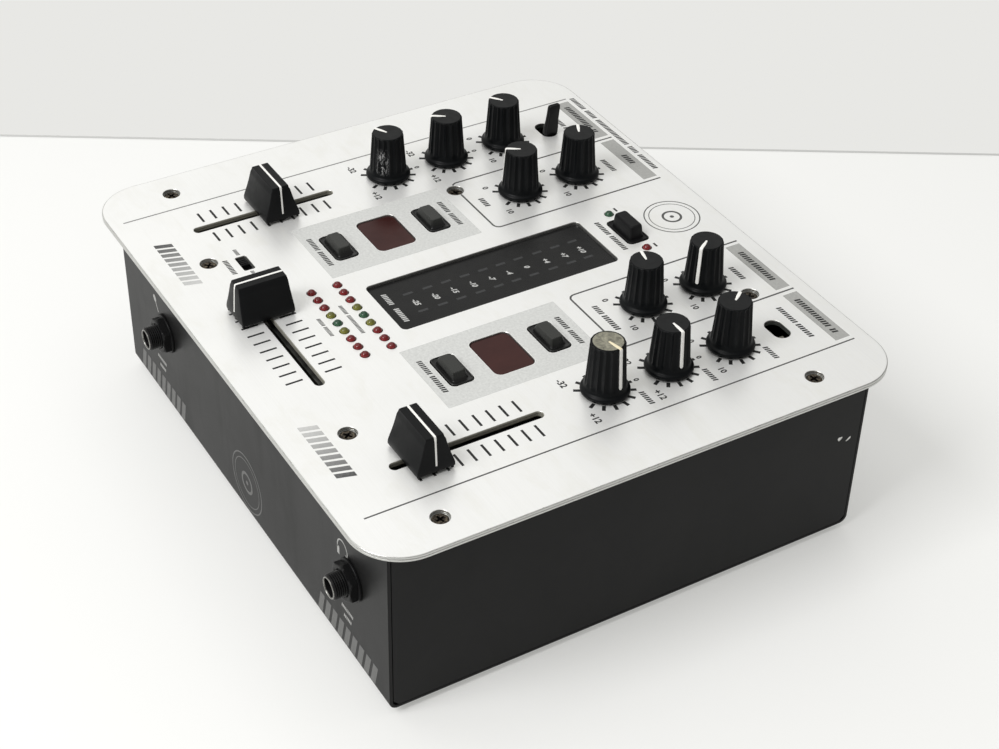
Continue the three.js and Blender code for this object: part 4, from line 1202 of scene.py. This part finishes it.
gb = G(); gb.box(pc_.x - 22.4, pc_.x + 22.4, YR - 3, YR + 3, pc_.z - 7.4, pc_.z + 7.4)
cutters.append(raw(gb, "cutter"))
bool_cut(tub, cutters)
tub.data.materials.clear()
tub.data.materials.append(MAT["case"])
bm = bmesh.new(); bm.from_mesh(tub.data)
for f_ in bm.faces:
    f_.smooth = f_.calc_area() < 2e-3 and not (abs(f_.normal.y) > 0.999 or abs(f_.normal.x) > 0.999 or abs(f_.normal.z) > 0.999)
crease(bm, 20)
bm.to_mesh(tub.data); bm.free()
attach(tub, "root"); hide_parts("chassis_tub")

for side in ("left", "right"):
    o = NODES["side_plate_" + side]
    add_bevel(o, 0.22, 2, 30)

for nm in ("front_left", "front_right", "rear_left", "rear_right"):
    node = "foot_" + nm
    lo, hi = B(node)
    c = mid(node)
    g = G()
    R = (hi.x - lo.x) / 2
    g.loft([circ(c.x, c.y, r, 56, z) for r, z in ((1.6, 0.9), (1.9, 0.05), (2.2, 0.0), (R - 0.9, 0), (R - 0.4, 0.12), (R - 0.1, 0.45), (R, 0.9), (R, hi.z - 0.3), (R - 0.2, hi.z))], 0, True)
    g.build(node + "_pad", ["rubber"], "root", "foot_rubber", (node,), sharp=40)

# ------------------------------------------------------- marks on the casing
F0, F1 = 0.004, 0.03
front = lambda u, v, w: (u, YF - w, v)
zr = lambda z: ZT + z  # heights below the panel's top
g = G(front)
pale = G(front)
for side in (-1, 1):
    for i in range(9):
        xa = side * (58.0 + 4.75 * i)
        g.box(xa - 2.6, xa + 0.6, zr(-69.4), zr(-60.2), F0, F1, 0, 2.4)
for r0, w in ((12.0, 0.5), (9.9, 0.35), (4.0, 1.1)):
    g.ribbon(circ(0, zr(-56.5), r0, 72), w, F0, F1, closed=True)
g.loft([circ(0, zr(-56.5), 0.9, 24, F0), circ(0, zr(-56.5), 0.9, 24, F1)], smooth=False)
# microphone sign
jx = mid("mic_jack_nut").x
mx, mzz = jx - 8.2, zr(-26.2)
def turned(pts, cx, cy, deg_):
    c_, s_ = math.cos(math.radians(deg_)), math.sin(math.radians(deg_))
    return [(cx + x * c_ - y * s_, cy + x * s_ + y * c_) for x, y in pts]
pale.ribbon(turned([(0, -3.4), (0, 0.6)], mx, mzz, 28), 0.7, F0, F1)
g2 = turned(rr(0, 2.1, 2.3, 3.0, 1.1, 5), mx, mzz, 28)
pale.loft([[(x, y, F0) for x, y in g2], [(x, y, F1) for x, y in g2]], smooth=False)
# headphone sign
hx, hz = mid("phones_jack_nut").x - 6.0, zr(-27.0)
pale.ribbon([(hx + 3.5 * math.cos(math.radians(t)), hz + 3.9 * math.sin(math.radians(t))) for t in range(-12, 193, 12)], 0.55, F0, F1)
for s in (-1, 1):
    pale.box(hx + s * 3.0 - 0.8, hx + s * 3.0 + 0.8, hz - 3.6, hz - 0.2, F0, F1)
for cx in (jx - 8.0, mid("phones_jack_nut").x - 4.0):
    caption(pale, cx - 4.0, cx + 4.0, zr(-52.3), 1.5, F0, F1)
    caption(pale, cx - 2.6, cx + 2.6, zr(-55.9), 1.5, F0, F1)
g.build("front_print_strips", ["case_print"])
pale.build("front_print_signs", ["case_print_lit"])

# two small chips in the paint of the right side
right = lambda u, v, w: (CX1 + w, u, v)
g = G(right)
for (u, v, a, b, t) in ((83.2, zr(-29.9), 0.95, 0.72, 20), (87.2, zr(-31.4), 1.1, 0.42, 38)):
    pts = []
    for i in range(18):
        an = 2 * math.pi * i / 18
        k = 1 + 0.18 * math.sin(3 * an + u) + 0.1 * math.sin(5 * an)
        x, y = a * k * math.cos(an), b * k * math.sin(an)
        pts.append((u + x * math.cos(math.radians(t)) - y * math.sin(math.radians(t)), v + x * math.sin(math.radians(t)) + y * math.cos(math.radians(t))))
    g.loft([[(x, y, 0.003) for x, y in pts], [(x, y, 0.02) for x, y in pts]], smooth=False)
g.build("side_paint_chips", ["white"])


# ----------------------------------------------------------------- rear side
def ring_at(x, z, r, y, n=48):
    return [(x + r * math.cos(2 * math.pi * i / n), y, z + r * math.sin(2 * math.pi * i / n)) for i in range(n)]


g = G()
inner = YR - SH - 0.4
g.box(rlo.x, rhi.x if rhi.x > 80 else 81, inner - 14, inner - 0.0, 20, 54)
for x in RCA_X:
    for z in RCA_Z:
        g.loft([ring_at(x, z, r, y) for r, y in ((6.2, inner), (6.2, YR + 0.25), (6.05, YR + 0.55), (5.6, YR + 0.62), (4.2, YR + 0.62))], 0, True, True, True)
g.build("rca_socket_body", ["socket"], "root", "socket_plastic", ("rca_socket_block",), sharp=30)
for row, z in enumerate(RCA_Z):
    mat = "ivory" if row else "red_plastic"
    g, s = G(), G()
    for x in RCA_X:
        g.loft([ring_at(x, z, r, y) for r, y in ((3.05, YR + 0.3), (3.05, YR + 7.1), (2.9, YR + 7.25), (1.65, YR + 7.25), (1.6, YR + 7.1), (1.6, YR + 1.0))], 0, True, True, True)
        s.loft([ring_at(x, z, r, y) for r, y in ((3.15, YR + 0.4), (3.15, YR + 7.6), (3.3, YR + 7.9), (3.6, YR + 8.0), (3.95, YR + 7.85), (4.05, YR + 7.5), (4.05, YR + 1.2), (5.3, YR + 1.2), (5.3, YR + 0.5), (3.4, YR + 0.4))], 0, True, closed=True)
    g.build("rca_inserts_" + ("upper" if row else "lower"), [mat], "root", None, (), sharp=30)
    s.build("rca_shells_" + ("upper" if row else "lower"), ["nickel"], "root", None, (), sharp=30)
g = G()
nk = 60
kn = lambda r, y, d: [(76 + (r - (d if i % 2 else 0)) * math.cos(2 * math.pi * i / nk), y, 24 + (r - (d if i % 2 else 0)) * math.sin(2 * math.pi * i / nk)) for i in range(nk)]
g.loft([kn(2.0, inner - 0.5, 0), kn(2.0, YR + 0.6, 0), kn(4.0, YR + 0.6, 0), kn(4.3, YR + 0.9, 0.2), kn(4.3, YR + 3.9, 0.2), kn(4.0, YR + 4.2, 0), kn(2.6, YR + 4.3, 0), kn(1.9, YR + 4.4, 0), kn(1.9, YR + 6.1, 0), kn(1.5, YR + 6.5, 0)], 0, True)
g.build("ground_post", ["nickel"], "root", None, (), sharp=30)

back = lambda u, v, w: (u, YR + w, v)
g = G(back)
for x in RCA_X:
    a = x - 4.5
    caption(g, a, a + 9, 55.2, 1.6, F0, F1)
for z in RCA_Z:
    caption(g, -4.5, 1.5, z, 1.6, F0, F1)
g.ribbon([(2.0, 59.0), (66, 59.0)], 0.4, F0, F1)
g.ribbon([(34, 20.5), (34, 59)], 0.4, F0, F1)
caption(g, 70.5, 81.5, 31.5, 1.6, F0, F1)
caption(g, -84, -70, 50.5, 1.8, F0, F1)
caption(g, -64, -48, 50.5, 1.8, F0, F1)
g.build("rear_print", ["case_print_lit"])
add_bevel(NODES["power_inlet"], 0.3, 2, 30)
add_bevel(NODES["power_rocker"], 0.35, 3, 20)
# rocker marks: a bar and a ring
jr = JOINTS["power_rocker_flip"]["pos_m"]
rx, ry, rz = [q * 1000 for q in jr]
t = math.radians(7)
for nm, sgn in (("on", -1), ("off", 1)):
    # each half of the rocker's V face slopes towards the middle
    slope = math.atan2(1.2, 6.2) * sgn
    def T(u, v, w, sgn=sgn, slope=slope):
        x = sgn * 3.1 + u * math.cos(slope) - w * math.sin(slope)
        y = 3.6 + u * math.sin(slope) + w * math.cos(slope)
        return (rx + x * math.cos(t) - y * math.sin(t), ry + x * math.sin(t) + y * math.cos(t), rz + v)
    g = G(T)
    if nm == "on":
        g.box(-0.25, 0.25, -1.4, 1.4, -0.02, 0.05)
    else:
        g.ribbon(circ(0, 0, 1.3, 32), 0.4, -0.02, 0.05, closed=True)
    g.build("rocker_mark_" + nm, ["white"], BODY_OF["power_rocker"])

# ---------------------------------------------- CAD pieces that stay as they are
KEEP = {
    "side_plate_left": "case", "side_plate_right": "case",
    "ch1_fader_housing": "steel", "ch2_fader_housing": "steel", "crossfader_housing": "steel",
    "ch1_fader_carriage": "nickel", "ch2_fader_carriage": "nickel", "crossfader_carriage": "nickel",
    "control_board": "board", "connector_board": "board", "power_inlet": "socket", "power_rocker": "switch",
}
for n_, m_ in KEEP.items():
    o = NODES[n_]
    o.data.materials.clear()
    o.data.materials.append(MAT[m_])
left = [n_ for n_, o in NODES.items() if not o.hide_render and n_ not in KEEP]
if left:
    print("CAD nodes with no look:", left)
for n_ in ("ch1_fader_carriage", "ch2_fader_carriage", "crossfader_carriage", "ch1_fader_housing", "ch2_fader_housing", "crossfader_housing"):
    add_bevel(NODES[n_], 0.15, 2, 30)

# ------------------------------------------------------------ floor and light
def plain(name, base, rough):
    m = bpy.data.materials.new(name)
    m.use_nodes = True
    p = m.node_tree.nodes["Principled BSDF"]
    p.inputs["Base Color"].default_value = (*base, 1)
    p.inputs["Roughness"].default_value = rough
    p.inputs["Specular IOR Level"].default_value = 0.2
    return m


a, b = Vector((-0.29911, -0.07981)), Vector((-0.06441, 0.31561))  # the table's far edge
d = (b - a).normalized()
nrm = Vector((-d.y, d.x))
if nrm.dot(Vector((0, 0)) - a) < 0:
    nrm = -nrm
p0, p1 = a - d * 4, b + d * 4
p2, p3 = p1 + nrm * 6, p0 + nrm * 6
me = bpy.data.meshes.new("floor")
me.from_pydata([(p.x, p.y, -0.0002) for p in (p0, p1, p2, p3)], [], [(0, 1, 2, 3)])
white = plain("floor_white", (0.52, 0.52, 0.515), 0.7)
white.node_tree.nodes["Principled BSDF"].inputs["Emission Color"].default_value = (1.0, 1.0, 0.965, 1)
white.node_tree.nodes["Principled BSDF"].inputs["Emission Strength"].default_value = 0.335
me.materials.append(white)
floor = bpy.data.objects.new("floor", me)
bpy.context.scene.collection.objects.link(floor)
me = bpy.data.meshes.new("floor_edge")
q = nrm * 0.0016
me.from_pydata([(p.x, p.y, 0.0) for p in (p0, p1, p1 + q, p0 + q)], [], [(0, 1, 2, 3)])
me.materials.append(plain("floor_edge_grey", (0.52, 0.52, 0.51), 0.8))
edge = bpy.data.objects.new("floor_edge", me)
bpy.context.scene.collection.objects.link(edge)

w = bpy.data.worlds.new("studio")
bpy.context.scene.world = w
w.use_nodes = True
wt = w.node_tree
tc = wt.nodes.new("ShaderNodeTexCoord")
dirn = Vector((math.cos(math.radians(190)) * math.cos(math.radians(35)), math.sin(math.radians(190)) * math.cos(math.radians(35)), math.sin(math.radians(35))))
dot = wt.nodes.new("ShaderNodeVectorMath"); dot.operation = "DOT_PRODUCT"
dot.inputs[1].default_value = dirn
wt.links.new(tc.outputs["Generated"], dot.inputs[0])
lobe = wt.nodes.new("ShaderNodeMapRange"); lobe.interpolation_type = "SMOOTHSTEP"
for k, v in (("From Min", 0.70), ("From Max", 0.88), ("To Min", 0.0), ("To Max", 0.56)):
    lobe.inputs[k].default_value = v
wt.links.new(dot.outputs["Value"], lobe.inputs["Value"])
slope = wt.nodes.new("ShaderNodeMapRange")
for k, v in (("From Min", 0.0), ("From Max", 0.70), ("To Min", 0.45), ("To Max", 0.64)):
    slope.inputs[k].default_value = v
wt.links.new(dot.outputs["Value"], slope.inputs["Value"])
both = wt.nodes.new("ShaderNodeMath"); both.operation = "ADD"
wt.links.new(lobe.outputs["Result"], both.inputs[0])
wt.links.new(slope.outputs["Result"], both.inputs[1])
sep = wt.nodes.new("ShaderNodeSeparateXYZ")
wt.links.new(tc.outputs["Generated"], sep.inputs[0])
up = wt.nodes.new("ShaderNodeMapRange")
for k, v in (("From Min", -0.05), ("From Max", 0.15), ("To Min", 0.0), ("To Max", 1.0)):
    up.inputs[k].default_value = v
wt.links.new(sep.outputs["Z"], up.inputs["Value"])
mx = wt.nodes.new("ShaderNodeMix"); mx.data_type = "FLOAT"
wt.links.new(up.outputs["Result"], mx.inputs[0])
mx.inputs[2].default_value = 1.0
wt.links.new(both.outputs[0], mx.inputs[3])
wt.nodes["Background"].inputs["Color"].default_value = (0.808, 0.806, 0.782, 1)
wt.links.new(mx.outputs[0], wt.nodes["Background"].inputs["Strength"])


def area_light(name, loc, target, size, power, size_y=None, color=(1, 1, 1)):
    l = bpy.data.lights.new(name, "AREA")
    l.shape = "RECTANGLE"
    l.size = size
    l.size_y = size_y or size
    l.energy = power
    l.color = color
    o = bpy.data.objects.new(name, l)
    bpy.context.scene.collection.objects.link(o)
    o.location = loc
    o.rotation_euler = (Vector(target) - Vector(loc)).to_track_quat("-Z", "Y").to_euler()
    return o


area_light("front_key", (0.12, -1.15, 1.30), (0, 0, 0), 0.8, 22.0, 0.8)
area_light("overhead", (0.0, 0.0, 1.6), (0, 0, 0), 1.2, 5.0, 1.2)

# --------------------------------------------------------------------- camera
cam_data = bpy.data.cameras.new("camera")
cam = bpy.data.objects.new("camera", cam_data)
bpy.context.scene.collection.objects.link(cam)
cam_data.sensor_width = 36.0
cam_data.sensor_fit = "HORIZONTAL"
cam_data.lens = 1935.853 / 999 * 36
cam_data.clip_start, cam_data.clip_end = 0.02, 20
right_, down_, fwd_ = Vector((0.508037, 0.861085, 0.020767)), Vector((0.5361, -0.297243, -0.790091)), Vector((-0.674163, 0.412528, -0.612638))
m = Matrix((right_, -down_, -fwd_)).transposed().to_4x4()
m.translation = Vector((0.48519665, -0.28654175, 0.46855349))
cam.matrix_world = m
bpy.context.scene.camera = cam
bpy.context.scene.view_settings.view_transform = "Standard"
